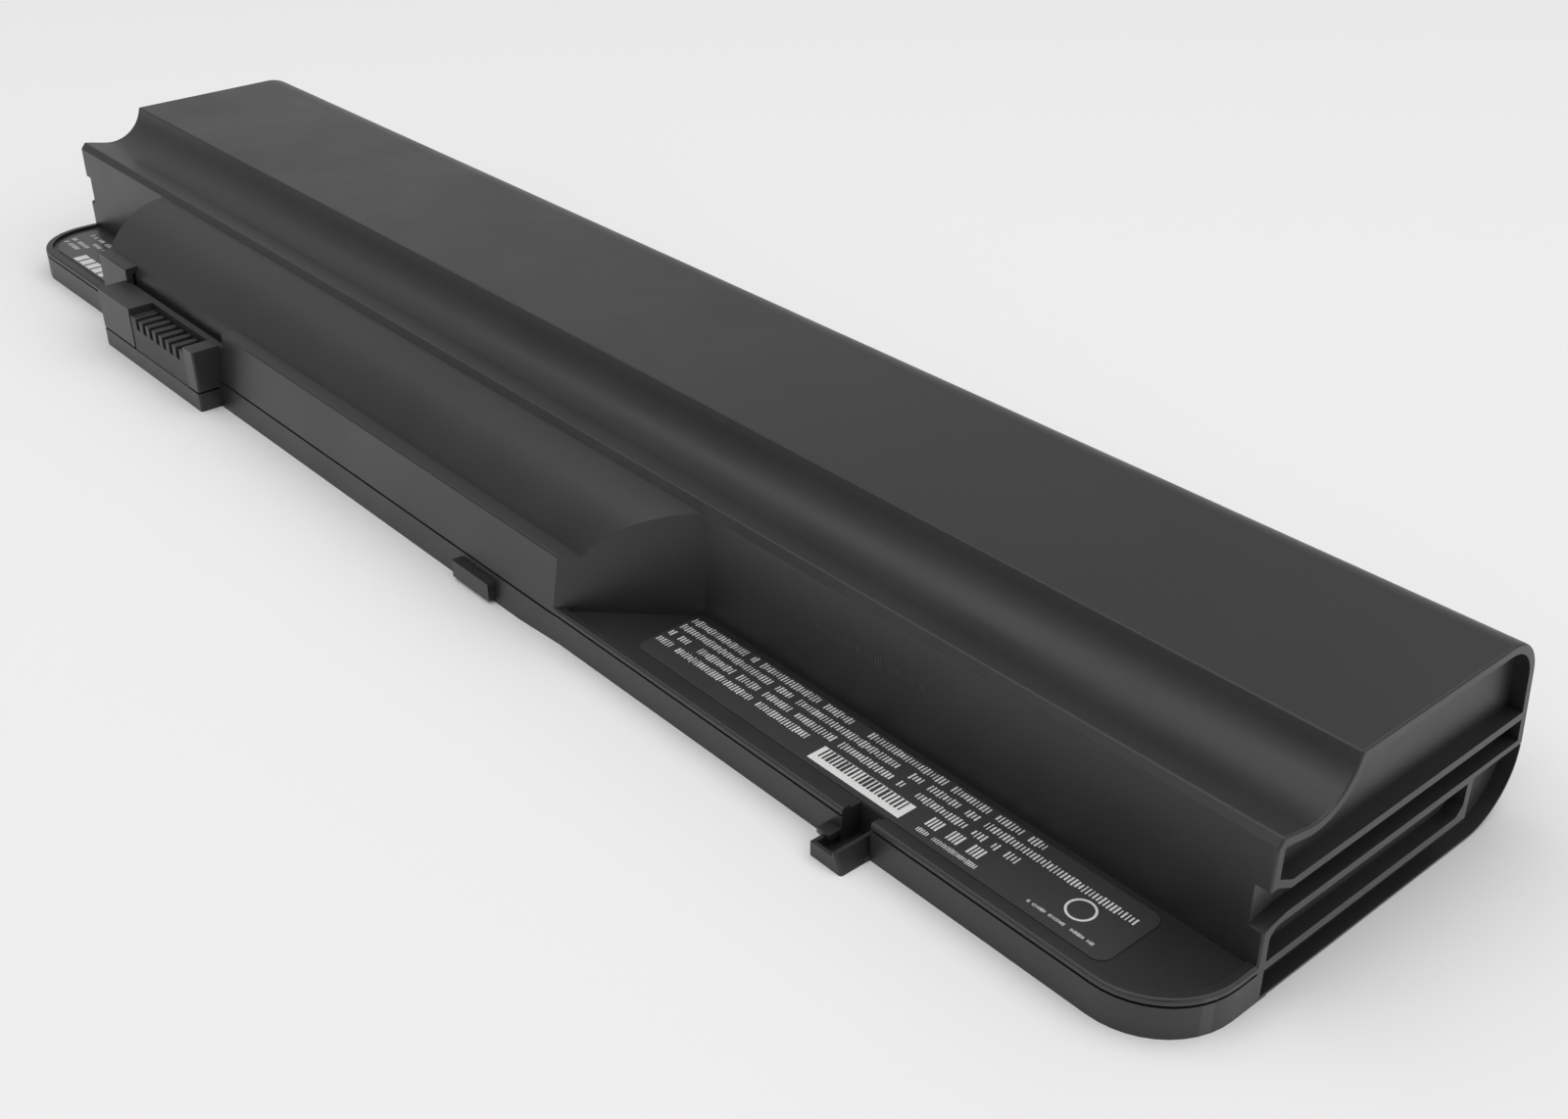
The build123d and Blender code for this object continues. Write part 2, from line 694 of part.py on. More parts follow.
def cell(index):
    """Cylindrical cell with a crimped shoulder and a raised button at its right end."""
    shoulder = CELL_LENGTH - BUTTON_HEIGHT
    groove = shoulder - CRIMP_DROP
    half = outline(
        (0, 0),
        (CELL_R, 0),
        (CELL_R, groove - CRIMP_HALF),
        (CELL_R - CRIMP_DEPTH, groove),
        (CELL_R, groove + CRIMP_HALF),
        (CELL_R, shoulder),
        (BUTTON_R, shoulder),
        (BUTTON_R, CELL_LENGTH),
        (0, CELL_LENGTH),
    )
    solid = revolve(Plane.XZ * half, axis=Axis.Z)
    return Pos(cell_start(index), CELL_Y, CELL_Z) * Rot(0, 90, 0) * solid


def insulator_ring(index):
    """Card washer round the button of a cell."""
    x = cell_start(index) + CELL_LENGTH - BUTTON_HEIGHT
    outer = rod(x, x + RING_THICK, CELL_Y, CELL_Z, CELL_R - RING_MARGIN)
    return outer - rod(x - MARGIN, x + MARGIN, CELL_Y, CELL_Z, BUTTON_R + RING_GAP)


def strip_plate(x0, x1):
    """Upright piece of strip across a cell's end, with a nose in front of the cell."""
    y0 = CELL_Y - CELL_R - STRIP_NOSE
    return block(x0, x1, y0, CELL_Y + STRIP_LAP, CELL_Z - STRIP_WIDTH / 2, CELL_Z + STRIP_WIDTH / 2)


def link_strip(index):
    """Folded strip between two cells."""
    x0 = cell_start(index) + CELL_LENGTH
    x1 = x0 + LINK_GAP
    left = strip_plate(x0, x0 + STRIP_THICK)
    right = block(
        x1 - STRIP_THICK,
        x1,
        CELL_Y - STRIP_LAP,
        CELL_Y + STRIP_LAP,
        CELL_Z - STRIP_WIDTH / 2,
        CELL_Z + STRIP_WIDTH / 2,
    )
    fold = block(
        x0,
        x1,
        CELL_Y + STRIP_LAP - STRIP_THICK,
        CELL_Y + STRIP_LAP,
        CELL_Z - STRIP_WIDTH / 2,
        CELL_Z + STRIP_WIDTH / 2,
    )
    return left + right + fold


def protection_board():
    """Circuit board that sits on the cover's posts."""
    plan = rectangle(BOARD_START, BOARD_END, BOARD_FRONT, BOARD_BACK)
    for corner in ((BOARD_START, BOARD_BACK), (BOARD_END, BOARD_BACK), (BOARD_END, BOARD_FRONT)):
        plan = rounded(plan, corner, BOARD_CORNER_R)
    board = along_z(plan, BOARD_UNDER, BOARD_TOP)
    for x, y in post_places():
        board = board - post(x, y, 0, HEIGHT, BOARD_PIN_R + BOARD_PIN_GAP)
    return board


def on_board(spot, size, step=0.0):
    """Block that stands on the board, at a spot measured from its front left corner."""
    x, y = BOARD_START + spot[0] + step, BOARD_FRONT + spot[1]
    return block(x, x + size[0], y, y + size[1], BOARD_TOP, BOARD_TOP + size[2])


def chip(sizes):
    """Chip body with a row of leads along its front and back."""
    from_left, from_front, length, depth, height = sizes
    x, y = BOARD_START + from_left, BOARD_FRONT + from_front
    z0 = BOARD_TOP + LEAD_THICK
    body = block(x, x + length, y, y + depth, z0, z0 + height)
    body = chamfer(body.faces().sort_by(Axis.Z)[-1].edges(), LEAD_THICK)
    leads = int((length - LEAD_WIDTH) / LEAD_PITCH) + 1
    first = x + (length - (leads - 1) * LEAD_PITCH - LEAD_WIDTH) / 2
    y0, y1 = y - LEAD_REACH, y + depth + LEAD_REACH
    for index in range(leads):
        left = first + index * LEAD_PITCH
        body = body + block(left, left + LEAD_WIDTH, y0, y1, BOARD_TOP, z0)
    return body


def board_capacitors():
    """Row of small ceramic capacitors."""
    steps = [index * CAPACITOR_PITCH for index in range(CAPACITOR_COUNT)]
    return Compound([on_board(CAPACITOR_PLACE, CAPACITOR_SIZE, step) for step in steps])


def sense_resistor():
    """Flat current shunt near the negative end of the board."""
    return chamfer(on_board(SHUNT_PLACE, SHUNT_SIZE).edges().filter_by(Axis.Z), SHUNT_CHAMFER)


def chemical_fuse():
    """Three-terminal fuse with a rounded cap."""
    return fillet(on_board(FUSE_PLACE, FUSE_SIZE).faces().sort_by(Axis.Z)[-1].edges(), FUSE_EDGE_R)


def cutoff_front():
    """Front of the thermal cutoff, in the middle of the open channel."""
    return FLANGE_DEPTH + CHANNEL_DEPTH / 2 - CUTOFF_DEPTH / 2


def cutoff_start():
    """Left end of the thermal cutoff."""
    return ROW_START + ROW_LENGTH - CUTOFF_SETBACK


def cutoff_ends():
    """Where the two ribs under the thermal cutoff start."""
    return cutoff_start() + WALL, cutoff_start() + CUTOFF_LENGTH - 2 * WALL


def thermal_cutoff():
    """Flat resettable cutoff in the positive line."""
    x, y, z = cutoff_start(), cutoff_front(), WALL + CUTOFF_RIB
    body = block(x, x + CUTOFF_LENGTH, y, y + CUTOFF_DEPTH, z, z + CUTOFF_HEIGHT)
    return fillet(body.edges().filter_by(Axis.X), CUTOFF_EDGE_R)


def insulating_card():
    """Thin card that stands on the floor in front of the cells."""
    y = SADDLE_FRONT - CARD_THICK
    x0, x1 = ROW_START + CARD_END, ROW_START + ROW_LENGTH - CARD_END
    return block(x0, x1, y, y + CARD_THICK, WALL, CELL_Z - STRIP_WIDTH / 2 - CARD_CLEAR)


def wire(start, end, shares, radius):
    """Round lead along straight runs joined by the largest arcs that they allow."""
    whole = [b - a for a, b in zip(start, end)]
    corners = [Vector(*(a + s * w for a, s, w in zip(start, share, whole))) for share in shares]
    radii = []
    for before, here, after in zip(corners, corners[1:], corners[2:]):
        turn = (here - before).get_angle(after - here)
        shorter = min((here - before).length, (after - here).length)
        radii.append(ARC_SHARE * shorter / tan(radians(turn / 2)))
    path = FilletPolyline(*corners, radius=radii)
    first = Plane(origin=path @ 0, z_dir=path % 0)
    solid = sweep(first * Circle(radius), path=path)
    share = solid.volume / (pi * radius**2 * path.length)
    print("wire radii", [round(r, 1) for r in radii], "volume over section times length", round(share, 4))
    return solid


def negative_wire():
    """Main lead from the first cell's base to the board."""
    start = (ROW_START - STRIP_THICK - MAIN_WIRE_R, CELL_Y - CELL_R, CELL_Z)
    end = (BOARD_START + PAD_INSET, BOARD_FRONT + PAD_DEPTH, BOARD_TOP + MAIN_WIRE_R)
    return wire(start, end, NEGATIVE_SHARES, MAIN_WIRE_R)


def cutoff_middle():
    """Middle of the thermal cutoff's ends, in y and z."""
    return cutoff_front() + CUTOFF_DEPTH / 2, WALL + CUTOFF_RIB + CUTOFF_HEIGHT / 2


def positive_wire():
    """Main lead from the last cell's button to the thermal cutoff."""
    start = (ROW_START + ROW_LENGTH + STRIP_THICK + MAIN_WIRE_R, CELL_Y - CELL_R, CELL_Z)
    end = (cutoff_start() + CUTOFF_LENGTH, *cutoff_middle())
    return wire(start, end, POSITIVE_SHARES, MAIN_WIRE_R)


def cutoff_wire():
    """Main lead from the thermal cutoff to the board."""
    start = (cutoff_start(), *cutoff_middle())
    end = (BOARD_END - CUTOFF_PAD_INSET, BOARD_FRONT + CUTOFF_PAD_DEPTH, BOARD_TOP + MAIN_WIRE_R)
    return wire(start, end, CUTOFF_SHARES, MAIN_WIRE_R)


def tap_wire(index, end_x):
    """Thin sensing lead from a link strip to a place along the board's back edge."""
    start = (cell_start(index) + CELL_LENGTH + STRIP_THICK + TAP_WIRE_R, CELL_Y - CELL_R, CELL_Z)
    end = (end_x, BOARD_BACK - 2 * TAP_WIRE_R, BOARD_TOP + TAP_WIRE_R)
    return wire(start, end, TAP_SHARES, TAP_WIRE_R)


def sensor_middle():
    """Middle of the temperature sensor along x, on the second cell."""
    return cell_start(1) + CELL_LENGTH / 2


def thermistor():
    """Bead that lies against the front of the second cell, with its lead to the board."""
    x0 = sensor_middle() - SENSOR_LENGTH / 2
    y = CELL_Y - CELL_R - SENSOR_R
    bead = rod(x0, x0 + SENSOR_LENGTH, y, CELL_Z, SENSOR_R)
    bead = fillet(bead.edges(), SENSOR_EDGE_R)
    start = (x0 + SENSOR_LEAD_LAP, y, CELL_Z)
    end = (start[0] - SENSOR_LEAD, BOARD_BACK - 3 * SENSOR_WIRE_R, BOARD_TOP + SENSOR_WIRE_R)
    return bead + wire(start, end, SENSOR_SHARES, SENSOR_WIRE_R)


def film(x0, x1, left_r):
    """Printed film stuck on the flange floor, with its own radius at the front left corner."""
    y0, y1 = LABEL_FRONT, FLANGE_DEPTH - LABEL_BACK_GAP
    plan = rounded(rectangle(x0, x1, y0, y1), (x0, y0), left_r)
    for corner in ((x1, y0), (x1, y1), (x0, y1)):
        plan = rounded(plan, corner, LABEL_CORNER_R)
    return along_z(plan, FLOOR_Z, FLOOR_Z + LABEL_THICK)


def label_film():
    """Film to the right of the bulge."""
    start = BULGE_END + FLANGE_DEPTH - LABEL_BACK_GAP + LABEL_GAP
    return film(start, LENGTH - LABEL_END, LABEL_CORNER_R)


def left_label_film():
    """Film to the left of the bulge, rounded to fit the corner of the flange."""
    return film(LEFT_LABEL_START, BULGE_START - LABEL_GAP, LEFT_LABEL_R)


def pieces():
    """Every piece of the pack by name."""
    made = {
        "upper_housing": upper_housing(),
        "lower_cover": lower_cover(),
        "connector_insert": connector_insert(),
        "label_film": label_film(),
        "left_label_film": left_label_film(),
    }
    for index, x in enumerate(contact_places()):
        made[f"contact_{index + 1}"] = contact(x)
    for index in range(CELL_COUNT):
        made[f"cell_{index + 1}"] = cell(index)
        made[f"insulator_ring_{index + 1}"] = insulator_ring(index)
    for index in range(CELL_COUNT - 1):
        made[f"link_strip_{index + 1}"] = link_strip(index)
    made["tap_wire_1"] = tap_wire(0, cell_start(1) + TAP_SHARE * CELL_LENGTH)
    made["tap_wire_2"] = tap_wire(1, BOARD_END - TAP_INSET)
    end = ROW_START + ROW_LENGTH
    made["negative_strip"] = strip_plate(ROW_START - STRIP_THICK, ROW_START)
    made["positive_strip"] = strip_plate(end, end + STRIP_THICK)
    made["negative_wire"] = negative_wire()
    made["positive_wire"] = positive_wire()
    made["cutoff_wire"] = cutoff_wire()
    made["thermal_cutoff"] = thermal_cutoff()
    made["thermistor"] = thermistor()
    made["insulating_card"] = insulating_card()
    made["protection_board"] = protection_board()
    for name, sizes in CHIPS.items():
        made[name] = chip(sizes)
    made["chemical_fuse"] = chemical_fuse()
    made["sense_resistor"] = sense_resistor()
    made["board_capacitors"] = board_capacitors()
    return made


os.makedirs("parts", exist_ok=True)
for node, shape in pieces().items():
    export_step(place(shape), f"parts/{node}.step")
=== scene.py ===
"""Looks of a slim laptop battery pack: mouldings, slotted connector, printed films and what is inside."""
import logging
import math
from dataclasses import dataclass, field, replace
from enum import Enum
from typing import Any

import bmesh
import bpy
from mathutils import Matrix, Vector


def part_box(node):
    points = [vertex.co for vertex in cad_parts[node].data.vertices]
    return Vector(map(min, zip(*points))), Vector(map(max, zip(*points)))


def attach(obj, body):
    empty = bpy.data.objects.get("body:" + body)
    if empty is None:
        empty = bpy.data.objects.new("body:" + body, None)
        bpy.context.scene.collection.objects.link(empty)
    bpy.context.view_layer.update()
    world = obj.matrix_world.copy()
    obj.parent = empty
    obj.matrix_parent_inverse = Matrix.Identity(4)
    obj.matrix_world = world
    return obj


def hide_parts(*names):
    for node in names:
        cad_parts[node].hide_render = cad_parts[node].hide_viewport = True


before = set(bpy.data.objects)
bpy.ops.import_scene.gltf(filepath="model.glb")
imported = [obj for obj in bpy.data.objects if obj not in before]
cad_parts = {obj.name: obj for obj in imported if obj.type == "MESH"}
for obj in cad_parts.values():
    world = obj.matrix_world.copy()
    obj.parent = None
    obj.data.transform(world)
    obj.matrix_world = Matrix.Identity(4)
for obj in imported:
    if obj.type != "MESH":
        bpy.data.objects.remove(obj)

LOG = logging.getLogger("battery_pack")
MM = 0.001
BODY = "root"
EDGE_LAYER = "edge"
PAINTED_LIGHT_LAYER = "recess_painted_light"

# Sockets by number, where a node's socket names repeat.
MIX_COLOURS = (6, 7)
MIX_RESULT = 2
RANDOM_LOW, RANDOM_HIGH = 2, 3
RANDOM_NUMBER, RANDOM_CHOICE = 1, 3

# Small print, in shares of a row's height, of its steps or of the step from block to block.
WORD_PITCH = 0.37
WORD_GAPS = 0.14
WORD_WIDTHS = (0.28, 0.58)
WORD_SHORT = 0.65
SEEDS_PER_RUN = 3
RING_STEPS = 48

Triple = tuple[float, float, float]
Colour = Triple
Tree = bpy.types.NodeTree
Node = bpy.types.Node
Socket = bpy.types.NodeSocket


class Group(Enum):
    """Shader effects that several finishes share."""

    GRAIN = "mould_grain"
    WEAR = "edge_wear"
    STREAKS = "drawn_streaks"


def add_node(tree: Tree, kind: str, inputs: dict[Any, Any] | None = None, **settings: Any) -> Node:
    """Adds one node to a tree.

    Args:
        tree: Tree that takes the node.
        kind: Blender's name of the node's type.
        inputs: Values or output sockets, by the input's name or number.
        settings: Properties of the node.

    Returns:
        The new node.
    """
    node = tree.nodes.new(kind)
    for name, value in settings.items():
        setattr(node, name, value)
    for key, value in (inputs or {}).items():
        if isinstance(value, Socket):
            tree.links.new(value, node.inputs[key])
        else:
            node.inputs[key].default_value = value
    return node


def math_node(tree: Tree, operation: str, *values: Any) -> Socket:
    """Adds a Math node.

    Args:
        tree: Tree that takes the node.
        operation: Name of the operation.
        values: Numbers or sockets, in the order of the node's inputs.

    Returns:
        The node's result.
    """
    return add_node(tree, "ShaderNodeMath", dict(enumerate(values)), operation=operation).outputs[0]


def ranged(tree: Tree, value: Socket, low: float, high: float) -> Socket:
    """Maps a socket's 0 to 1 onto another range.

    Args:
        tree: Tree that takes the node.
        value: Socket to map.
        low: Result at 0.
        high: Result at 1.

    Returns:
        The mapped value.
    """
    inputs = {"Value": value, "To Min": low, "To Max": high}
    return add_node(tree, "ShaderNodeMapRange", inputs).outputs["Result"]


def mixed(tree: Tree, factor: Any, first: Any, second: Any) -> Socket:
    """Mixes two colours.

    Args:
        tree: Tree that takes the node.
        factor: Share of the second colour, a number or a socket.
        first: Colour or socket at a factor of 0.
        second: Colour or socket at a factor of 1.

    Returns:
        The mixed colour.
    """
    node = add_node(tree, "ShaderNodeMix", {0: factor}, data_type="RGBA")
    for index, value in zip(MIX_COLOURS, (first, second)):
        if isinstance(value, Socket):
            tree.links.new(value, node.inputs[index])
        else:
            node.inputs[index].default_value = (*value, 1.0)
    return node.outputs[MIX_RESULT]


@dataclass(frozen=True)
class GroupSockets:
    """Names of a group's number inputs with their usual values, and of its outputs."""

    inputs: dict[str, float]
    outputs: tuple[str, ...]

    def start(self, name: str) -> tuple[Tree, Node, Node]:
        """Makes an empty shader group with these sockets.

        Args:
            name: Name of the group.

        Returns:
            The tree, its input node and its output node.
        """
        tree = bpy.data.node_groups.new(name, "ShaderNodeTree")
        for label, value in self.inputs.items():
            socket = tree.interface.new_socket(label, in_out="INPUT", socket_type="NodeSocketFloat")
            socket.default_value = value
        for label in self.outputs:
            tree.interface.new_socket(label, in_out="OUTPUT", socket_type="NodeSocketFloat")
        return tree, tree.nodes.new("NodeGroupInput"), tree.nodes.new("NodeGroupOutput")


class Effects:
    """Builds the shared shader groups once and hands them out by name."""

    def __init__(self) -> None:
        """Builds all groups."""
        self.trees = {Group.GRAIN: self.grain(), Group.WEAR: self.wear(), Group.STREAKS: self.streaks()}

    @staticmethod
    def noise(tree: Tree, size_mm: Any, detail: float, stretch: Any = None) -> Socket:
        """Adds noise on Object coordinates.

        Args:
            tree: Tree that takes the nodes.
            size_mm: Size of a speck in millimetres, a number or a socket.
            detail: Detail of the noise.
            stretch: Scale of the coordinates along each axis, where they aren't even.

        Returns:
            The noise, from 0 to 1.
        """
        point = add_node(tree, "ShaderNodeTexCoord").outputs["Object"]
        if stretch is not None:
            point = add_node(tree, "ShaderNodeMapping", {"Vector": point, "Scale": stretch}).outputs[0]
        scale = math_node(tree, "DIVIDE", 1 / MM, size_mm)
        inputs = {"Vector": point, "Scale": scale, "Detail": detail, "Roughness": 0.55}
        return add_node(tree, "ShaderNodeTexNoise", inputs).outputs[0]

    @classmethod
    def grain(cls) -> Tree:
        """Fine spark-eroded grain of a mould, with broad mottling.

        Returns:
            The group's tree.
        """
        sockets = GroupSockets({"Grain Size": 0.3, "Mottle Size": 14.0}, ("Height", "Mottle"))
        tree, start, end = sockets.start(Group.GRAIN.value)
        fine = cls.noise(tree, start.outputs["Grain Size"], detail=2.0)
        broad = cls.noise(tree, start.outputs["Mottle Size"], detail=4.0)
        tree.links.new(fine, end.inputs["Height"])
        tree.links.new(ranged(tree, broad, low=-0.6, high=1.6), end.inputs["Mottle"])
        return tree

    @classmethod
    def wear(cls) -> Tree:
        """Rubbed edges, from the piece's edge layer and broken up by noise.

        Returns:
            The group's tree.
        """
        sockets = GroupSockets({"Amount": 0.5, "Patch Size": 3.0}, ("Mask",))
        tree, start, end = sockets.start(Group.WEAR.value)
        edge = add_node(tree, "ShaderNodeAttribute", attribute_name=EDGE_LAYER).outputs["Fac"]
        patch = ranged(tree, cls.noise(tree, start.outputs["Patch Size"], detail=5.0), low=-0.2, high=1.5)
        spots = math_node(tree, "MULTIPLY", edge, patch)
        rubbed = math_node(tree, "MULTIPLY", spots, start.outputs["Amount"])
        clamp = add_node(tree, "ShaderNodeClamp", {"Value": rubbed}).outputs[0]
        tree.links.new(clamp, end.inputs["Mask"])
        return tree

    @classmethod
    def streaks(cls) -> Tree:
        """Fine lines of drawn or rolled metal along x.

        Returns:
            The group's tree.
        """
        sockets = GroupSockets({"Line Size": 0.08}, ("Lines",))
        tree, start, end = sockets.start(Group.STREAKS.value)
        lines = cls.noise(tree, start.outputs["Line Size"], detail=3.0, stretch=(0.05, 1.0, 1.0))
        tree.links.new(lines, end.inputs["Lines"])
        return tree

    def place(self, tree: Tree, group: Group, **values: float) -> Node:
        """Adds a group to a material.

        Args:
            tree: The material's tree.
            group: Which effect.
            values: Inputs of the group, with underscores for spaces.

        Returns:
            The group's node.
        """
        node = add_node(tree, "ShaderNodeGroup", node_tree=self.trees[group])
        for name, value in values.items():
            node.inputs[name.replace("_", " ").title()].default_value = value
        return node


@dataclass(frozen=True)
class Finish:
    """A finish with grain, mottling and rubbed edges.

    Attributes:
        name: Name of the material.
        colour: Base colour.
        roughness: Middle roughness.
        grain_mm: Size of a speck of the grain.
        depth_mm: Height of the grain.
        mottle: Share by which the colour varies over the surface.
        spread: How far the roughness varies either way.
        metallic: 1 for bare metal.
        wear: Strength of the rubbed edges.
        wear_colour: Colour of the rubbed edges.
        recess_painted_light: Painted light: a lighter colour on the floors of the recesses in the ends,
            standing in for the light that reaches into them, where a finish has it.
        specular: Specular level of the shader.
        coat: Weight of a clear coat.
    """

    name: str
    colour: Colour
    roughness: float
    grain_mm: float = 0.3
    depth_mm: float = 0.01
    mottle: float = 0.12
    spread: float = 0.05
    metallic: float = 0.0
    wear: float = 0.0
    wear_colour: Colour = (0.2, 0.2, 0.2)
    recess_painted_light: Colour | None = None
    specular: float = 0.5
    coat: float = 0.0

    def shaded(self, share: float) -> Colour:
        """Base colour made lighter or darker by a share."""
        return tuple(min(1.0, part * (1 + share)) for part in self.colour)

    def pattern(self, tree: Tree, effects: Effects, grain: Node) -> Socket:
        """Colour of the unworn surface, with painted light on the marked floors of the recesses where the
        finish has it.

        Args:
            tree: The material's tree.
            effects: The shared groups.
            grain: The grain group's node.

        Returns:
            The colour.
        """
        plain = mixed(tree, grain.outputs["Mottle"], self.shaded(-self.mottle), self.shaded(self.mottle))
        if self.recess_painted_light is None:
            return plain
        # Painted light: the marked floors of the recesses in the ends take a lighter colour that stands in
        # for the light reaching into them.
        painted_light_mask = add_node(tree, "ShaderNodeAttribute", attribute_name=PAINTED_LIGHT_LAYER).outputs["Fac"]
        return mixed(tree, painted_light_mask, plain, self.recess_painted_light)

    def relief(self, tree: Tree, effects: Effects, grain: Node) -> Socket:
        """Height of the surface, from 0 to 1: the grain's own."""
        return grain.outputs["Height"]

    def material(self, effects: Effects) -> bpy.types.Material:
        """Builds the material.

        Args:
            effects: The shared groups.

        Returns:
            The new material.
        """
        made = bpy.data.materials.new(self.name)
        made.use_nodes = True
        tree = made.node_tree
        shader = tree.nodes["Principled BSDF"]
        grain = effects.place(tree, Group.GRAIN, grain_size=self.grain_mm)
        wear = effects.place(tree, Group.WEAR, amount=self.wear)
        colour = mixed(tree, wear.outputs["Mask"], self.pattern(tree, effects, grain), self.wear_colour)
        low, high = self.roughness - self.spread, self.roughness + self.spread
        rough = ranged(tree, grain.outputs["Mottle"], low, high)
        bump = {"Height": self.relief(tree, effects, grain), "Distance": self.depth_mm * MM, "Strength": 1.0}
        tree.links.new(colour, shader.inputs["Base Color"])
        tree.links.new(rough, shader.inputs["Roughness"])
        tree.links.new(add_node(tree, "ShaderNodeBump", bump).outputs[0], shader.inputs["Normal"])
        shader.inputs["Metallic"].default_value = self.metallic
        shader.inputs["Specular IOR Level"].default_value = self.specular
        shader.inputs["Coat Weight"].default_value = self.coat
        return made


@dataclass(frozen=True)
class DrawnMetal(Finish):
    """Metal strip or can with fine lines along its length."""

    line_mm: float = 0.08

    def pattern(self, tree: Tree, effects: Effects, grain: Node) -> Socket:
        """Colour with lighter and darker lines."""
        lines = effects.place(tree, Group.STREAKS, line_size=self.line_mm).outputs["Lines"]
        return mixed(tree, lines, self.shaded(-self.mottle), self.shaded(self.mottle))


@dataclass(frozen=True)
class CoatedBoard(Finish):
    """Board resist with paler tracks under it."""

    track_mm: float = 1.6
    track_colour: Colour = (0.05, 0.30, 0.14)

    def pattern(self, tree: Tree, effects: Effects, grain: Node) -> Socket:
        """Resist colour with a run of straight tracks.

        Args:
            tree: The material's tree.
            effects: The shared groups.
            grain: The grain group's node.

        Returns:
            The colour.
        """
        point = add_node(tree, "ShaderNodeTexCoord").outputs["Object"]
        bricks = {"Vector": point, "Scale": 1 / (self.track_mm * MM)}
        bricks |= {"Mortar Size": 0.12, "Brick Width": 6.0, "Row Height": 1.0}
        tracks = add_node(tree, "ShaderNodeTexBrick", bricks).outputs["Fac"]
        plain = super().pattern(tree, effects, grain)
        return mixed(tree, tracks, plain, self.track_colour)


class Finishes(Enum):
    """Every finish of the pack."""

    HOUSING = Finish(
        "housing_plastic", (0.0165, 0.0165, 0.0172), roughness=0.42, grain_mm=0.28, depth_mm=0.012,
        mottle=0.10, spread=0.05, wear=0.5, wear_colour=(0.085, 0.085, 0.085),
        # Painted light: a lighter colour on the floors of the recesses in the ends, standing in for the
        # light that reaches into them.
        recess_painted_light=(0.036, 0.036, 0.037),
    )
    INSERT = Finish(
        "insert_plastic", (0.012, 0.012, 0.0125), roughness=0.5, grain_mm=0.25, depth_mm=0.006,
        mottle=0.08, wear=0.4, wear_colour=(0.09, 0.09, 0.09),
    )
    FILM = Finish(
        "label_film", (0.037, 0.037, 0.0375), roughness=0.34, grain_mm=0.5, depth_mm=0.002, mottle=0.08,
        spread=0.04,
    )
    # Painted highlight: the raised row is the housing's own plastic, given a lighter colour that stands in
    # for light catching its raised tops.
    RAISED = Finish(
        "raised_plastic_painted_highlight", (0.042, 0.042, 0.043), roughness=0.36, grain_mm=0.3, depth_mm=0.004,
        mottle=0.08,
    )
    STRIPE = Finish(
        "label_stripe", (0.03, 0.03, 0.03), roughness=0.5, grain_mm=0.3, depth_mm=0.001, mottle=0.08,
    )
    PRINT = Finish(
        "label_print", (0.64, 0.64, 0.635), roughness=0.5, grain_mm=0.2, depth_mm=0.001, mottle=0.08,
    )
    PATCH = Finish(
        "label_patch", (0.70, 0.70, 0.69), roughness=0.5, grain_mm=0.4, depth_mm=0.002, mottle=0.04,
    )
    CONTACT = DrawnMetal(
        "contact_metal", (0.78, 0.62, 0.32), roughness=0.3, grain_mm=0.1, depth_mm=0.001, mottle=0.08,
        metallic=1.0,
    )
    SLEEVE = Finish(
        "cell_sleeve", (0.10, 0.30, 0.42), roughness=0.3, grain_mm=1.2, depth_mm=0.004, mottle=0.06,
        coat=0.3,
    )
    CARD = Finish("card", (0.76, 0.74, 0.66), roughness=0.8, grain_mm=0.15, depth_mm=0.012, mottle=0.06)
    STRIP = DrawnMetal(
        "strip_metal", (0.62, 0.60, 0.57), roughness=0.35, grain_mm=0.1, depth_mm=0.001, mottle=0.10,
        metallic=1.0,
    )
    CAN = DrawnMetal(
        "cutoff_metal", (0.55, 0.55, 0.55), roughness=0.35, grain_mm=0.1, depth_mm=0.001, mottle=0.08,
        metallic=1.0,
    )
    LEAD_BLACK = Finish("wire_black", (0.02, 0.02, 0.02), roughness=0.45, grain_mm=0.4, depth_mm=0.003)
    LEAD_RED = Finish("wire_red", (0.50, 0.03, 0.03), roughness=0.45, grain_mm=0.4, depth_mm=0.003)
    LEAD_YELLOW = Finish("wire_yellow", (0.70, 0.55, 0.06), roughness=0.45, grain_mm=0.4, depth_mm=0.003)
    LEAD_WHITE = Finish("wire_white", (0.75, 0.75, 0.72), roughness=0.45, grain_mm=0.4, depth_mm=0.003)
    BOARD = CoatedBoard(
        "board", (0.03, 0.22, 0.10), roughness=0.3, grain_mm=0.4, depth_mm=0.003, mottle=0.08, coat=0.4,
    )
    CHIP = Finish("chip_plastic", (0.03, 0.03, 0.03), roughness=0.6, grain_mm=0.12, depth_mm=0.005)
    FUSE = Finish(
        "fuse_ceramic", (0.75, 0.74, 0.70), roughness=0.35, grain_mm=0.2, depth_mm=0.002, mottle=0.04,
    )
    RESISTOR = Finish("resistor_body", (0.08, 0.08, 0.09), roughness=0.5, grain_mm=0.15, depth_mm=0.004)
    CAPACITOR = Finish(
        "capacitor_body", (0.45, 0.34, 0.22), roughness=0.45, grain_mm=0.12, depth_mm=0.003, mottle=0.08,
    )


class Palette:
    """Builds each finish's material the first time that it is asked for."""

    def __init__(self) -> None:
        """Starts with the shared effects and no materials."""
        self.effects = Effects()
        self.made: dict[Finishes, bpy.types.Material] = {}

    def get(self, finish: Finishes) -> bpy.types.Material:
        """Material of a finish.

        Args:
            finish: Which finish.

        Returns:
            Its material.
        """
        if finish not in self.made:
            self.made[finish] = finish.value.material(self.effects)
        return self.made[finish]


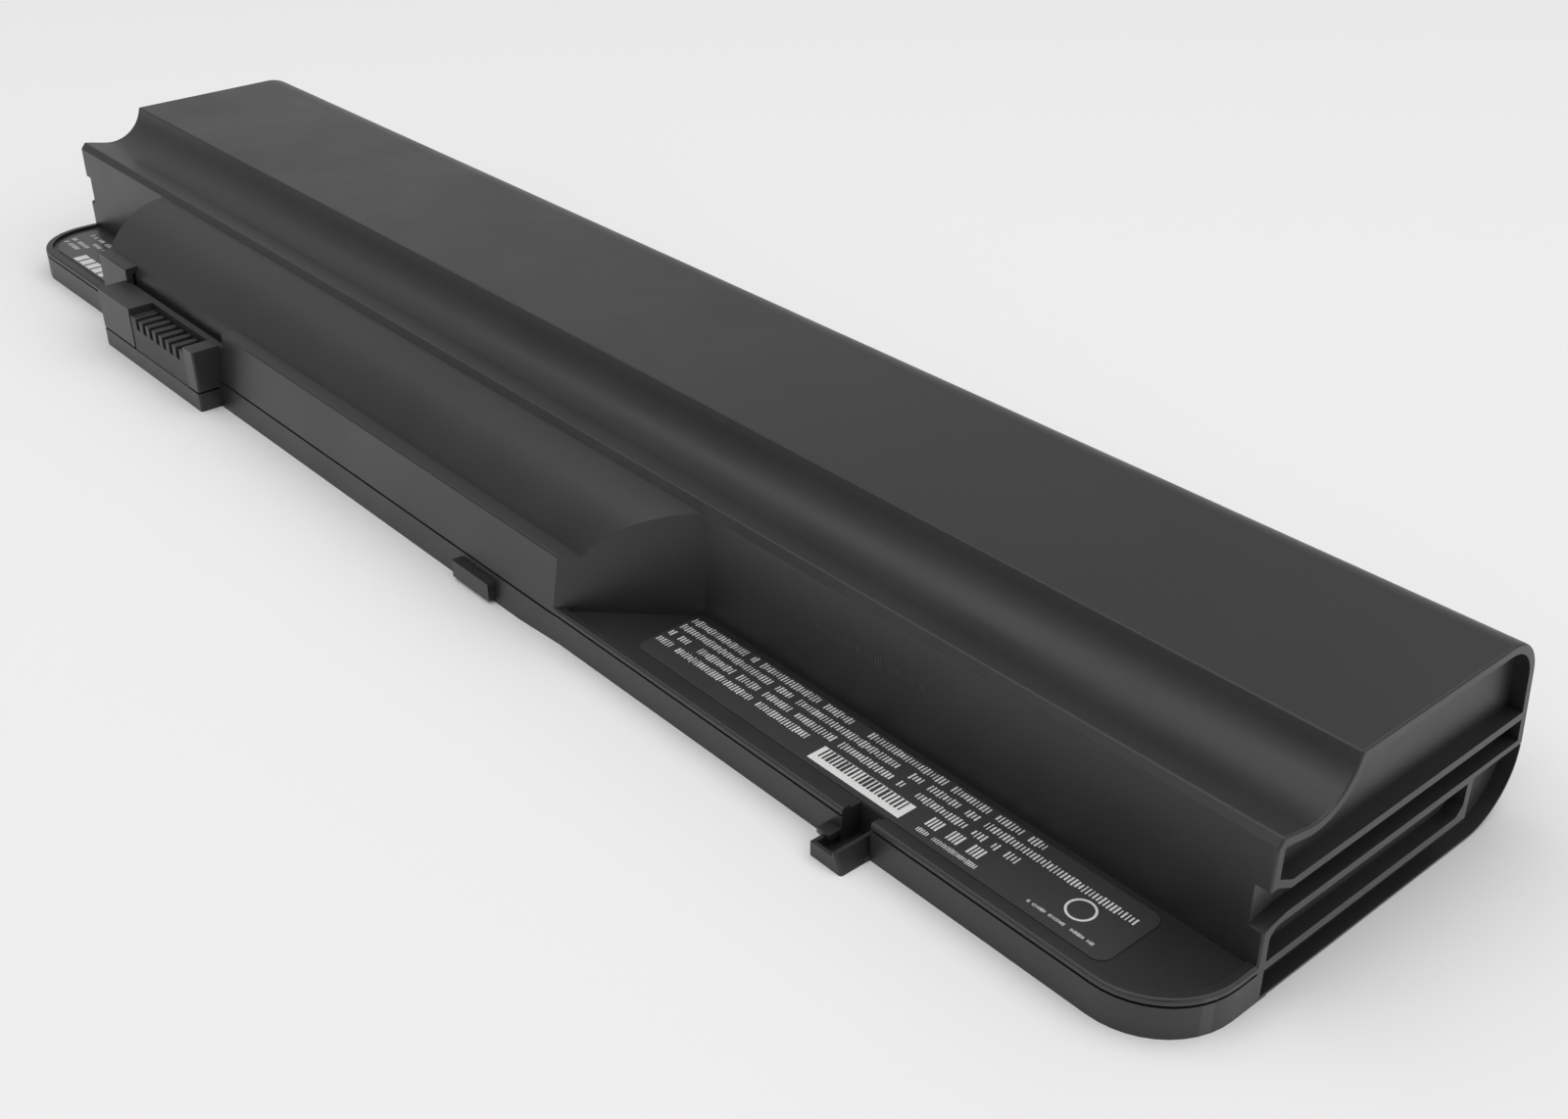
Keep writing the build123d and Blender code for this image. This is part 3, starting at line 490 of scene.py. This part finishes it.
def link(name: str, mesh: bpy.types.Mesh) -> bpy.types.Object:
    """Puts a mesh into the scene at the origin.

    Args:
        name: Name of the object.
        mesh: Its mesh.

    Returns:
        The new object.
    """
    made = bpy.data.objects.new(name, mesh)
    bpy.context.scene.collection.objects.link(made)
    return made


def settle(piece: bpy.types.Object) -> None:
    """Turns an object's modifiers into its plain mesh.

    Args:
        piece: The object.
    """
    bpy.context.view_layer.update()
    graph = bpy.context.evaluated_depsgraph_get()
    mesh = bpy.data.meshes.new_from_object(piece.evaluated_get(graph))
    piece.modifiers.clear()
    piece.data = mesh


def hand_over(piece: bpy.types.Object, slot: str, *nodes: str) -> None:
    """Lets a piece ride on the pack, and stand for the nodes that it replaces.

    Args:
        piece: The finished piece.
        slot: Name of the piece's material slot, which is only written to the log.
        nodes: Nodes that the piece replaces.
    """
    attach(piece, BODY)
    if nodes:
        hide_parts(*nodes)
    LOG.info("%s: %d faces, slot %s", piece.name, len(piece.data.polygons), slot)


@dataclass(frozen=True)
class Slant:
    """A narrow end face that is turned to lie in line with the face beside it, at 45 degrees.

    Attributes:
        x_mm: Where the end face lies along x.
        y_mm: Its edge with the face beside it; the end face lies in front of this.
        z_mm: Its lower edge.
    """

    x_mm: float
    y_mm: float
    z_mm: float

    def turn(self, work: bmesh.types.BMesh, near: float) -> None:
        """Moves the end face's corners.

        Args:
            work: The solid.
            near: Distance at which a corner still counts as on the end face.
        """
        for vert in work.verts:
            back = vert.co.y - self.y_mm * MM
            if abs(vert.co.x - self.x_mm * MM) < near and back < 0 and vert.co.z > self.z_mm * MM - near:
                vert.co.x += back


@dataclass
class Moulding:
    """A moulded piece: its solid with merged faces and softened edges.

    Attributes:
        node: Node of the solid.
        finish: Finish of the whole piece.
        slants: End faces to turn.
        bevel_mm: Width of the softened edges.
        sharp_deg: Edges that turn by more than this are softened.
        merge_mm: Distance at which corners are merged.
        flat_deg: Faces that turn by less than this are merged.
        room: Width that a face needs beside a softened edge, in bevel widths.
        bend_deg: Edges in line to within this don't narrow a face.
        painted_light_span_mm: Span along x, from the middle, of the floors of the recesses in the ends that
            take painted light.
        painted_light_top_mm: Height under which those floors are marked for painted light.
        outward: How squarely such a floor faces its end, as the cosine of the angle.
    """

    node: str
    finish: Finishes
    slants: tuple[Slant, ...] = ()
    bevel_mm: float = 0.12
    sharp_deg: float = 32.0
    merge_mm: float = 0.001
    flat_deg: float = 0.4
    room: float = 2.4
    bend_deg: float = 30.0
    painted_light_span_mm: tuple[float, float] = (107.5, 110.2)
    painted_light_top_mm: float = 11.0
    outward: float = 0.9
    piece: bpy.types.Object = field(init=False)

    def build(self) -> "Moulding":
        """Makes the merged, softened copy of the solid.

        Returns:
            This moulding.
        """
        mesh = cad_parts[self.node].data.copy()
        mesh.materials.clear()
        if "custom_normal" in mesh.attributes:
            mesh.attributes.remove(mesh.attributes["custom_normal"])
        work = bmesh.new()
        work.from_mesh(mesh)
        bmesh.ops.remove_doubles(work, verts=work.verts, dist=self.merge_mm * MM)
        for slant in self.slants:
            slant.turn(work, self.merge_mm * MM)
        flat = math.radians(self.flat_deg)
        bmesh.ops.dissolve_limit(work, angle_limit=flat, verts=work.verts, edges=work.edges)
        self.soften(work)
        self.mark_painted_light(work)
        work.to_mesh(mesh)
        work.free()
        mesh.shade_smooth()
        mesh.set_sharp_from_angle(angle=math.radians(self.sharp_deg))
        self.piece = link(f"{self.node}_moulding", mesh)
        weighted = self.piece.modifiers.new("flat_faces", "WEIGHTED_NORMAL")
        weighted.keep_sharp = True
        settle(self.piece)
        return self

    def roomy(self, edge: bmesh.types.BMEdge) -> bool:
        """Whether the faces beside an edge are wide enough to give way to a softened edge.

        Args:
            edge: The edge.

        Returns:
            True where they are.
        """
        need = self.room * self.bevel_mm * MM
        straight = math.pi - math.radians(self.bend_deg)
        for loop in edge.link_loops:
            before, after = loop.link_loop_prev, loop.link_loop_next
            for side, vert in ((before.edge, loop.vert), (after.edge, after.vert)):
                along = edge.other_vert(vert).co - vert.co
                turn = along.angle(side.other_vert(vert).co - vert.co, math.pi)
                if turn < straight and side.calc_length() < need:
                    return False
        return True

    def soften(self, work: bmesh.types.BMesh) -> None:
        """Bevels the sharp edges that have room and marks the new faces in the edge layer.

        Args:
            work: The merged solid.
        """
        layer = work.faces.layers.float.new(EDGE_LAYER)
        sharp = math.radians(self.sharp_deg)
        folds = [edge for edge in work.edges if edge.is_manifold and edge.calc_face_angle() > sharp]
        edges = [edge for edge in folds if self.roomy(edge)]
        settings = {"offset": self.bevel_mm * MM, "offset_type": "OFFSET", "segments": 2, "profile": 0.5}
        settings |= {"affect": "EDGES", "clamp_overlap": True, "loop_slide": True}
        made = bmesh.ops.bevel(work, geom=edges, **settings)
        for face in made["faces"]:
            face[layer] = 1.0
        LOG.info("%s: %d edges softened", self.node, len(edges))

    def mark_painted_light(self, work: bmesh.types.BMesh) -> None:
        """Marks the floors of the recesses in both ends in the painted-light layer, where the finish paints
        a lighter colour in place of light.

        Args:
            work: The softened solid.
        """
        layer = work.faces.layers.float.new(PAINTED_LIGHT_LAYER)
        near, far = (limit * MM for limit in self.painted_light_span_mm)
        work.normal_update()
        for face in work.faces:
            middle = face.calc_center_median()
            outward = face.normal.x * math.copysign(1, middle.x) > self.outward
            if outward and near < abs(middle.x) < far and middle.z < self.painted_light_top_mm * MM:
                face[layer] = 1.0

    def dress(self, palette: Palette) -> None:
        """Gives the moulding its finish and hands it over.

        Args:
            palette: Where materials come from.
        """
        self.piece.data.materials.clear()
        self.piece.data.materials.append(palette.get(self.finish))
        hand_over(self.piece, self.finish.value.name, self.node)


@dataclass
class KeptSolids:
    """Nodes that keep their solids and take a better material.

    Attributes:
        finishes: Finish of each group of nodes, by the start of their names.
    """

    finishes: dict[str, Finishes]

    def dress(self, palette: Palette) -> None:
        """Gives each node its finish.

        Args:
            palette: Where materials come from.
        """
        for start, finish in self.finishes.items():
            for name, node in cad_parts.items():
                if name.startswith(start):
                    node.data.materials.clear()
                    node.data.materials.append(palette.get(finish))
                    LOG.info("%s: %s", name, finish.value.name)


KEPT_FINISHES: dict[str, Finishes] = {
    "label_film": Finishes.FILM,
    "left_label_film": Finishes.FILM,
    "contact_": Finishes.CONTACT,
    "cell_": Finishes.SLEEVE,
    "insulat": Finishes.CARD,
    "link_strip_": Finishes.STRIP,
    "negative_strip": Finishes.STRIP,
    "positive_strip": Finishes.STRIP,
    "negative_wire": Finishes.LEAD_BLACK,
    "positive_wire": Finishes.LEAD_RED,
    "cutoff_wire": Finishes.LEAD_RED,
    "tap_wire_": Finishes.LEAD_YELLOW,
    "thermistor": Finishes.LEAD_WHITE,
    "thermal_cutoff": Finishes.CAN,
    "protection_board": Finishes.BOARD,
    "controller_chip": Finishes.CHIP,
    "gauge_chip": Finishes.CHIP,
    "switch_transistor_": Finishes.CHIP,
    "chemical_fuse": Finishes.FUSE,
    "sense_resistor": Finishes.RESISTOR,
    "board_capacitors": Finishes.CAPACITOR,
}


@dataclass(frozen=True)
class Run:
    """A run of flat printed blocks along x, in millimetres from a film's front left corner.

    Attributes:
        left: Left end of the run.
        middle: Middle of the blocks, towards the back.
        height: Size of the blocks from front to back.
        pitch: Step from block to block.
        count: Number of steps.
        gaps: Share of the pairs of steps left empty.
        narrow: Smallest width of a block as a share of the step.
        wide: Largest width of a block as a share of the step.
        short: Smallest share of the height that a block has.
    """

    left: float
    middle: float
    height: float
    pitch: float
    count: int
    gaps: float = 0.0
    narrow: float = 1.0
    wide: float = 1.0
    short: float = 1.0

    @classmethod
    def words(cls, left: float, right: float, middle: float, height: float = 1.05) -> "Run":
        """A row of narrow blocks of uneven width, in the place of a line of small print.

        Args:
            left: Left end of the row.
            right: Right end of the row.
            middle: Middle of the row, towards the back.
            height: Size of the blocks from front to back.

        Returns:
            The run.
        """
        pitch = WORD_PITCH * height
        count = int((right - left) / pitch)
        return cls(left, middle, height, pitch, count, WORD_GAPS, *WORD_WIDTHS, WORD_SHORT)


class RunTree:
    """Geometry Nodes group that lays one run of blocks."""

    NUMBERS = ("Left", "Middle", "Height", "Pitch", "Gaps", "Narrow", "Wide", "Short", "Thickness")

    def __init__(self) -> None:
        """Builds the group."""
        tree = bpy.data.node_groups.new("block_run", "GeometryNodeTree")
        for name in self.NUMBERS:
            tree.interface.new_socket(name, in_out="INPUT", socket_type="NodeSocketFloat")
        for name in ("Count", "Seed"):
            tree.interface.new_socket(name, in_out="INPUT", socket_type="NodeSocketInt")
        tree.interface.new_socket("Blocks", in_out="OUTPUT", socket_type="NodeSocketGeometry")
        given = tree.nodes.new("NodeGroupInput").outputs
        first = math_node(tree, "ADD", given["Left"], math_node(tree, "MULTIPLY", given["Pitch"], 0.5))
        lift = math_node(tree, "MULTIPLY", given["Thickness"], 0.5)
        middle = {"X": first, "Y": given["Middle"], "Z": lift}
        start = add_node(tree, "ShaderNodeCombineXYZ", middle).outputs[0]
        step = add_node(tree, "ShaderNodeCombineXYZ", {"X": given["Pitch"]}).outputs[0]
        line = {"Count": given["Count"], "Start Location": start, "Offset": step}
        points = add_node(tree, "GeometryNodeMeshLine", line).outputs[0]
        sizes = {"X": given["Pitch"], "Y": given["Height"], "Z": given["Thickness"]}
        size = add_node(tree, "ShaderNodeCombineXYZ", sizes).outputs[0]
        block = add_node(tree, "GeometryNodeMeshCube", {"Size": size}).outputs[0]
        index = add_node(tree, "GeometryNodeInputIndex").outputs[0]
        pair = math_node(tree, "FLOOR", math_node(tree, "MULTIPLY", index, 0.5))
        empty = {"Probability": given["Gaps"], "ID": pair, "Seed": given["Seed"]}
        gap = add_node(tree, "FunctionNodeRandomValue", empty, data_type="BOOLEAN").outputs[RANDOM_CHOICE]
        filled = add_node(tree, "FunctionNodeBooleanMath", {0: gap}, operation="NOT").outputs[0]
        second = math_node(tree, "ADD", given["Seed"], 1)
        widths = {RANDOM_LOW: given["Narrow"], RANDOM_HIGH: given["Wide"], "Seed": second}
        width = add_node(tree, "FunctionNodeRandomValue", widths, data_type="FLOAT").outputs[RANDOM_NUMBER]
        third = math_node(tree, "ADD", given["Seed"], 2)
        heights = {RANDOM_LOW: given["Short"], RANDOM_HIGH: 1.0, "Seed": third}
        height = add_node(tree, "FunctionNodeRandomValue", heights, data_type="FLOAT").outputs[RANDOM_NUMBER]
        scale = add_node(tree, "ShaderNodeCombineXYZ", {"X": width, "Y": height, "Z": 1.0}).outputs[0]
        laid = {"Points": points, "Selection": filled, "Instance": block, "Scale": scale}
        blocks = add_node(tree, "GeometryNodeInstanceOnPoints", laid).outputs[0]
        tree.links.new(blocks, tree.nodes.new("NodeGroupOutput").inputs["Blocks"])
        self.tree = tree


@dataclass(frozen=True)
class Ring:
    """A printed ring, in millimetres from a film's front left corner.

    Attributes:
        middle: Middle of the ring along x and towards the back.
        radius: Radius of the middle of its line.
        line: Width of its line.
    """

    middle: tuple[float, float]
    radius: float
    line: float

    def lay(self, tree: Tree, thickness: float) -> Socket:
        """Adds the ring to a Geometry Nodes tree.

        Args:
            tree: Tree that takes the nodes.
            thickness: Thickness of the ink in metres.

        Returns:
            The ring's mesh.
        """
        circle = {"Resolution": RING_STEPS, "Radius": self.radius * MM}
        path = add_node(tree, "GeometryNodeCurvePrimitiveCircle", circle)
        sizes = {"Width": self.line * MM, "Height": thickness}
        section = add_node(tree, "GeometryNodeCurvePrimitiveQuadrilateral", sizes)
        swept = {"Curve": path.outputs[0], "Profile Curve": section.outputs[0]}
        mesh = add_node(tree, "GeometryNodeCurveToMesh", swept).outputs[0]
        place = (self.middle[0] * MM, self.middle[1] * MM, thickness / 2)
        return add_node(tree, "GeometryNodeTransform", {"Geometry": mesh, "Translation": place}).outputs[0]


@dataclass
class Print:
    """Flat print or low raised marks: runs of blocks in one finish.

    Attributes:
        name: Name of the piece.
        place: Front left corner of the face that it lies on, in metres.
        finish: Finish of the blocks.
        runs: The runs.
        rings: The rings.
        seed: Seed of the sizes and gaps.
        tilt_deg: Turn about x, for a face that isn't level.
        thickness_mm: Thickness of the blocks.
        slot: Name of the print's material slot, which is only written to the log.
    """

    name: str
    place: Vector
    finish: Finishes
    runs: tuple[Run, ...]
    rings: tuple[Ring, ...] = ()
    seed: int = 7
    tilt_deg: float = 0.0
    thickness_mm: float = 0.02
    slot: str = "label_film"
    piece: bpy.types.Object = field(init=False)

    def tree(self, group: RunTree) -> Tree:
        """Joins the runs into one Geometry Nodes tree.

        Args:
            group: The group that lays one run.

        Returns:
            The tree, with a place, a turn, a seed and a material as its inputs.
        """
        tree = bpy.data.node_groups.new(self.name, "GeometryNodeTree")
        for label, kind in (("Place", "Vector"), ("Turn", "Vector"), ("Seed", "Int"), ("Ink", "Material")):
            tree.interface.new_socket(label, in_out="INPUT", socket_type=f"NodeSocket{kind}")
        tree.interface.new_socket("Geometry", in_out="OUTPUT", socket_type="NodeSocketGeometry")
        given = tree.nodes.new("NodeGroupInput").outputs
        joined = tree.nodes.new("GeometryNodeJoinGeometry")
        for index, run in enumerate(self.runs):
            sizes = (run.left, run.middle, run.height, run.pitch)
            shares = (run.gaps, run.narrow, run.wide, run.short)
            values = [*(size * MM for size in sizes), *shares, self.thickness_mm * MM]
            inputs = dict(zip(group.NUMBERS, values)) | {"Count": run.count}
            inputs["Seed"] = math_node(tree, "ADD", given["Seed"], SEEDS_PER_RUN * index)
            laid = add_node(tree, "GeometryNodeGroup", inputs, node_tree=group.tree)
            tree.links.new(laid.outputs[0], joined.inputs[0])
        for ring in self.rings:
            tree.links.new(ring.lay(tree, self.thickness_mm * MM), joined.inputs[0])
        moved = {"Geometry": joined.outputs[0], "Translation": given["Place"], "Rotation": given["Turn"]}
        placed = add_node(tree, "GeometryNodeTransform", moved).outputs[0]
        real = add_node(tree, "GeometryNodeRealizeInstances", {0: placed}).outputs[0]
        ink = {"Geometry": real, "Material": given["Ink"]}
        inked = add_node(tree, "GeometryNodeSetMaterial", ink).outputs[0]
        tree.links.new(inked, tree.nodes.new("NodeGroupOutput").inputs[0])
        return tree

    def build(self, group: RunTree, palette: Palette) -> "Print":
        """Lays the runs and rings on their face.

        Args:
            group: The group that lays one run.
            palette: Where materials come from.

        Returns:
            This print.
        """
        self.piece = link(self.name, bpy.data.meshes.new(self.name))
        laid = self.piece.modifiers.new("print", "NODES")
        laid.node_group = self.tree(group)
        turn = (math.radians(self.tilt_deg), 0.0, 0.0)
        values = {"Place": self.place, "Turn": turn, "Seed": self.seed, "Ink": palette.get(self.finish)}
        for item in laid.node_group.interface.items_tree:
            if item.in_out == "INPUT":
                laid[item.identifier] = values[item.name]
        settle(self.piece)
        return self

    def dress(self) -> None:
        """Hands the print over."""
        hand_over(self.piece, self.slot)


@dataclass
class Labels:
    """The films' print and the wall's raised row, as plain rows, a striped field, small blocks and a ring.

    Attributes:
        rows: Left end, right end and middle of each row of small print on the right film.
        fine_rows: The same and the height, for the finer rows under the marks and the ring.
        marks: Left end of each small mark on the right film.
        mark: Blocks of one mark.
        ring: Open ring on the right film.
        patch: Pale patch on the right film.
        stripes: Bars on the patch.
        left_rows: Left end, right end and middle of each row on the left film.
        left_height: Height of those rows.
        squares: Row of larger blocks on the left film.
        raised: Left end, right end, middle and height of the raised row on the wall, in the pack's frame.
        raised_mm: How far the raised row stands out.
        wall_mm: Where the wall's front lies.
        wall_deg: Turn about x that stands a row up on the wall.
    """

    rows: tuple[Triple, ...] = ((0.3, 49.2, 7.4), (0.3, 60.3, 5.9), (0.3, 48.7, 4.3), (0.3, 23.4, 2.7))
    fine_rows: tuple[tuple[float, ...], ...] = ((39.4, 46.7, 1.0, 0.65), (52.2, 59.6, 1.25, 0.4))
    marks: tuple[float, ...] = (39.4, 41.9, 44.4)
    mark: Run = Run(left=0.0, middle=2.55, height=1.4, pitch=0.38, count=4, narrow=0.35, wide=0.7)
    ring: Ring = Ring(middle=(56.0, 3.7), radius=1.3, line=0.24)
    patch: Run = Run(left=25.35, middle=1.83, height=2.34, pitch=12.05, count=1)
    stripes: Run = Run(
        left=25.8, middle=2.2, height=1.5, pitch=0.5, count=22, gaps=0.1, narrow=0.3, wide=0.75,
    )
    left_rows: tuple[Triple, ...] = ((1.6, 6.6, 2.4), (1.4, 6.8, 3.7), (5.8, 9.6, 5.0), (2.0, 9.0, 6.4))
    left_height: float = 0.85
    squares: Run = Run(left=9.0, middle=1.3, height=2.0, pitch=2.1, count=6, narrow=0.6, wide=0.85)
    raised: tuple[float, ...] = (58.0, 73.0, 11.2, 0.95)
    raised_mm: float = 0.03
    wall_mm: float = -11.9
    wall_deg: float = 90.0

    @staticmethod
    def corner(film: str, lift_mm: float = 0.0) -> Vector:
        """Front left corner of a film's top, or of a layer over it."""
        low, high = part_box(film)
        return Vector((low[0], low[1], high[2] + lift_mm * MM))

    def build(self, palette: Palette) -> None:
        """Lays and hands over all print.

        Args:
            palette: Where materials come from.
        """
        group = RunTree()
        words = [Run.words(*row) for row in self.rows]
        words += [replace(self.mark, left=left) for left in self.marks]
        words += [Run.words(*row) for row in self.fine_rows]
        left = [self.squares, *(Run.words(*row, self.left_height) for row in self.left_rows)]
        film, other = self.corner("label_film"), self.corner("left_label_film")
        over = self.corner("label_film", Print.thickness_mm)
        wall = Vector((0.0, self.wall_mm * MM, 0.0))
        raised = Print("wall_marks", wall, Finishes.RAISED, (Run.words(*self.raised),), seed=5)
        raised.tilt_deg, raised.thickness_mm, raised.slot = self.wall_deg, self.raised_mm, "housing_plastic"
        prints = (
            Print("label_words", film, Finishes.PRINT, tuple(words), (self.ring,)),
            Print("label_patch", film, Finishes.PATCH, (self.patch,)),
            Print("label_stripes", over, Finishes.STRIPE, (self.stripes,)),
            Print("left_label_words", other, Finishes.PRINT, tuple(left), seed=31),
            raised,
        )
        for made in prints:
            made.build(group, palette).dress()


@dataclass(frozen=True)
class Lamp:
    """A soft box that faces the pack.

    Attributes:
        name: Name of the lamp.
        power: Power in watts.
        size: Width and height of the box in metres.
        place: Where it stands.
    """

    name: str
    power: float
    size: tuple[float, float]
    place: Triple

    def build(self) -> None:
        """Makes the lamp."""
        lamp = bpy.data.lights.new(self.name, "AREA")
        lamp.shape = "RECTANGLE"
        lamp.size, lamp.size_y = self.size
        lamp.energy = self.power
        made = bpy.data.objects.new(self.name, lamp)
        made.location = self.place
        made.rotation_euler = (-made.location).to_track_quat("-Z", "Y").to_euler()
        bpy.context.scene.collection.objects.link(made)


@dataclass(frozen=True)
class Glow:
    """A soft bright part of the sky.

    Attributes:
        aim: Direction of its middle from the pack.
        level: Brightness at its middle.
        edge: Where it begins, as the cosine of the angle to its middle.
    """

    aim: Triple
    level: float
    edge: float = 0.6

    def shine(self, tree: Tree, look: Socket) -> Socket:
        """Adds the glow to the sky's tree.

        Args:
            tree: The sky's tree.
            look: Direction into the sky.

        Returns:
            The glow's brightness in that direction.
        """
        product = add_node(tree, "ShaderNodeVectorMath", {0: look, 1: self.aim}, operation="DOT_PRODUCT")
        reach = {"Value": product.outputs["Value"], "From Min": self.edge, "To Max": self.level}
        return add_node(tree, "ShaderNodeMapRange", reach, interpolation_type="SMOOTHSTEP").outputs["Result"]


@dataclass
class Studio:
    """Pale floor, soft light and the camera.

    Attributes:
        floor_size: Width of the floor in metres.
        floor_colour: Colour of the floor and the sky as the camera sees them.
        bounce: Colour of the floor for all other light.
        floor_roughness: Roughness of the floor.
        glows: Bright parts of the sky.
        lamps: Soft boxes.
        lens_mm: Focal length of the camera.
        sensor_mm: Width of its sensor.
        nearest: Distance from which it sees, in metres.
        eye: Where it stands.
        right: Direction to the right of its picture.
        up: Direction to the top of its picture.
        forward: Direction into its picture.
    """

    floor_size: float = 6.0
    floor_colour: Colour = (0.78, 0.78, 0.78)
    bounce: Colour = (0.92, 0.92, 0.92)
    floor_roughness: float = 0.9
    glows: tuple[Glow, ...] = (
        Glow((-0.50, 0.85, 0.10), 0.52),
        Glow((-0.98, 0.00, 0.15), 0.53),
        Glow((0.98, 0.10, 0.10), 0.90),
    )
    lamps: tuple[Lamp, ...] = (
        Lamp("overhead_box", 9.1, (1.6, 1.2), (-0.25, -0.25, 1.2)),
        Lamp("back_box", 9.8, (1.6, 1.2), (0.5, 0.5, 1.0)),
        Lamp("front_box", 5.6, (1.6, 1.2), (0.0, -0.9, 0.8)),
    )
    lens_mm: float = 42.48
    sensor_mm: float = 36.0
    nearest: float = 0.01
    eye: Triple = (0.16822, -0.11230, 0.10715)
    right: Triple = (0.6580, 0.7530, 0.0)
    up: Triple = (-0.3854, 0.3368, 0.8591)
    forward: Triple = (-0.64695, 0.56528, -0.51178)

    def build(self) -> None:
        """Makes the floor, the sky, the lamps and the camera."""
        self.floor()
        self.light()
        for lamp in self.lamps:
            lamp.build()
        self.camera()

    def floor(self) -> None:
        """Makes the floor as a wide plane under the pack."""
        half = self.floor_size / 2
        outline = [(-half, -half, 0), (half, -half, 0), (half, half, 0), (-half, half, 0)]
        mesh = bpy.data.meshes.new("floor")
        mesh.from_pydata(outline, [], [(0, 1, 2, 3)])
        made = bpy.data.materials.new("floor_paper")
        made.use_nodes = True
        tree = made.node_tree
        shader = tree.nodes["Principled BSDF"]
        path = add_node(tree, "ShaderNodeLightPath")
        seen = mixed(tree, path.outputs["Is Camera Ray"], self.bounce, self.floor_colour)
        tree.links.new(seen, shader.inputs["Base Color"])
        shader.inputs["Roughness"].default_value = self.floor_roughness
        shader.inputs["Specular IOR Level"].default_value = 0.0
        mesh.materials.append(made)
        link("floor", mesh)

    def light(self) -> None:
        """Makes the sky: dark apart from its glows, and pale as the camera sees it."""
        world = bpy.data.worlds.new("light_tent")
        bpy.context.scene.world = world
        world.use_nodes = True
        tree = world.node_tree
        back = tree.nodes["Background"]
        path = add_node(tree, "ShaderNodeLightPath")
        look = add_node(tree, "ShaderNodeTexCoord").outputs["Generated"]
        level: Any = 0.0
        for glow in self.glows:
            level = math_node(tree, "ADD", level, glow.shine(tree, look))
        seen = mixed(tree, path.outputs["Is Camera Ray"], level, self.floor_colour)
        tree.links.new(seen, back.inputs["Color"])

    def camera(self) -> None:
        """Makes the camera at the photograph's angle."""
        data = bpy.data.cameras.new("camera")
        data.lens = self.lens_mm
        data.sensor_fit = "HORIZONTAL"
        data.sensor_width = self.sensor_mm
        data.clip_start = self.nearest
        made = bpy.data.objects.new("camera", data)
        turn = Matrix((self.right, self.up, [-part for part in self.forward])).transposed().to_4x4()
        made.matrix_world = Matrix.Translation(self.eye) @ turn
        bpy.context.scene.collection.objects.link(made)
        bpy.context.scene.camera = made
        bpy.context.scene.view_settings.view_transform = "Standard"


BULGE_END = Slant(x_mm=30.3, y_mm=-22.6, z_mm=4.2)


def main() -> None:
    """Builds and dresses the whole pack."""
    logging.basicConfig(level=logging.INFO, format="%(name)s: %(message)s")
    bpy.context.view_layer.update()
    palette = Palette()
    Studio().build()
    Moulding("upper_housing", Finishes.HOUSING, (BULGE_END,)).build().dress(palette)
    Moulding("lower_cover", Finishes.HOUSING).build().dress(palette)
    Moulding("connector_insert", Finishes.INSERT, bevel_mm=0.08).build().dress(palette)
    KeptSolids(KEPT_FINISHES).dress(palette)
    Labels().build(palette)


if __name__ == "__main__":
    main()
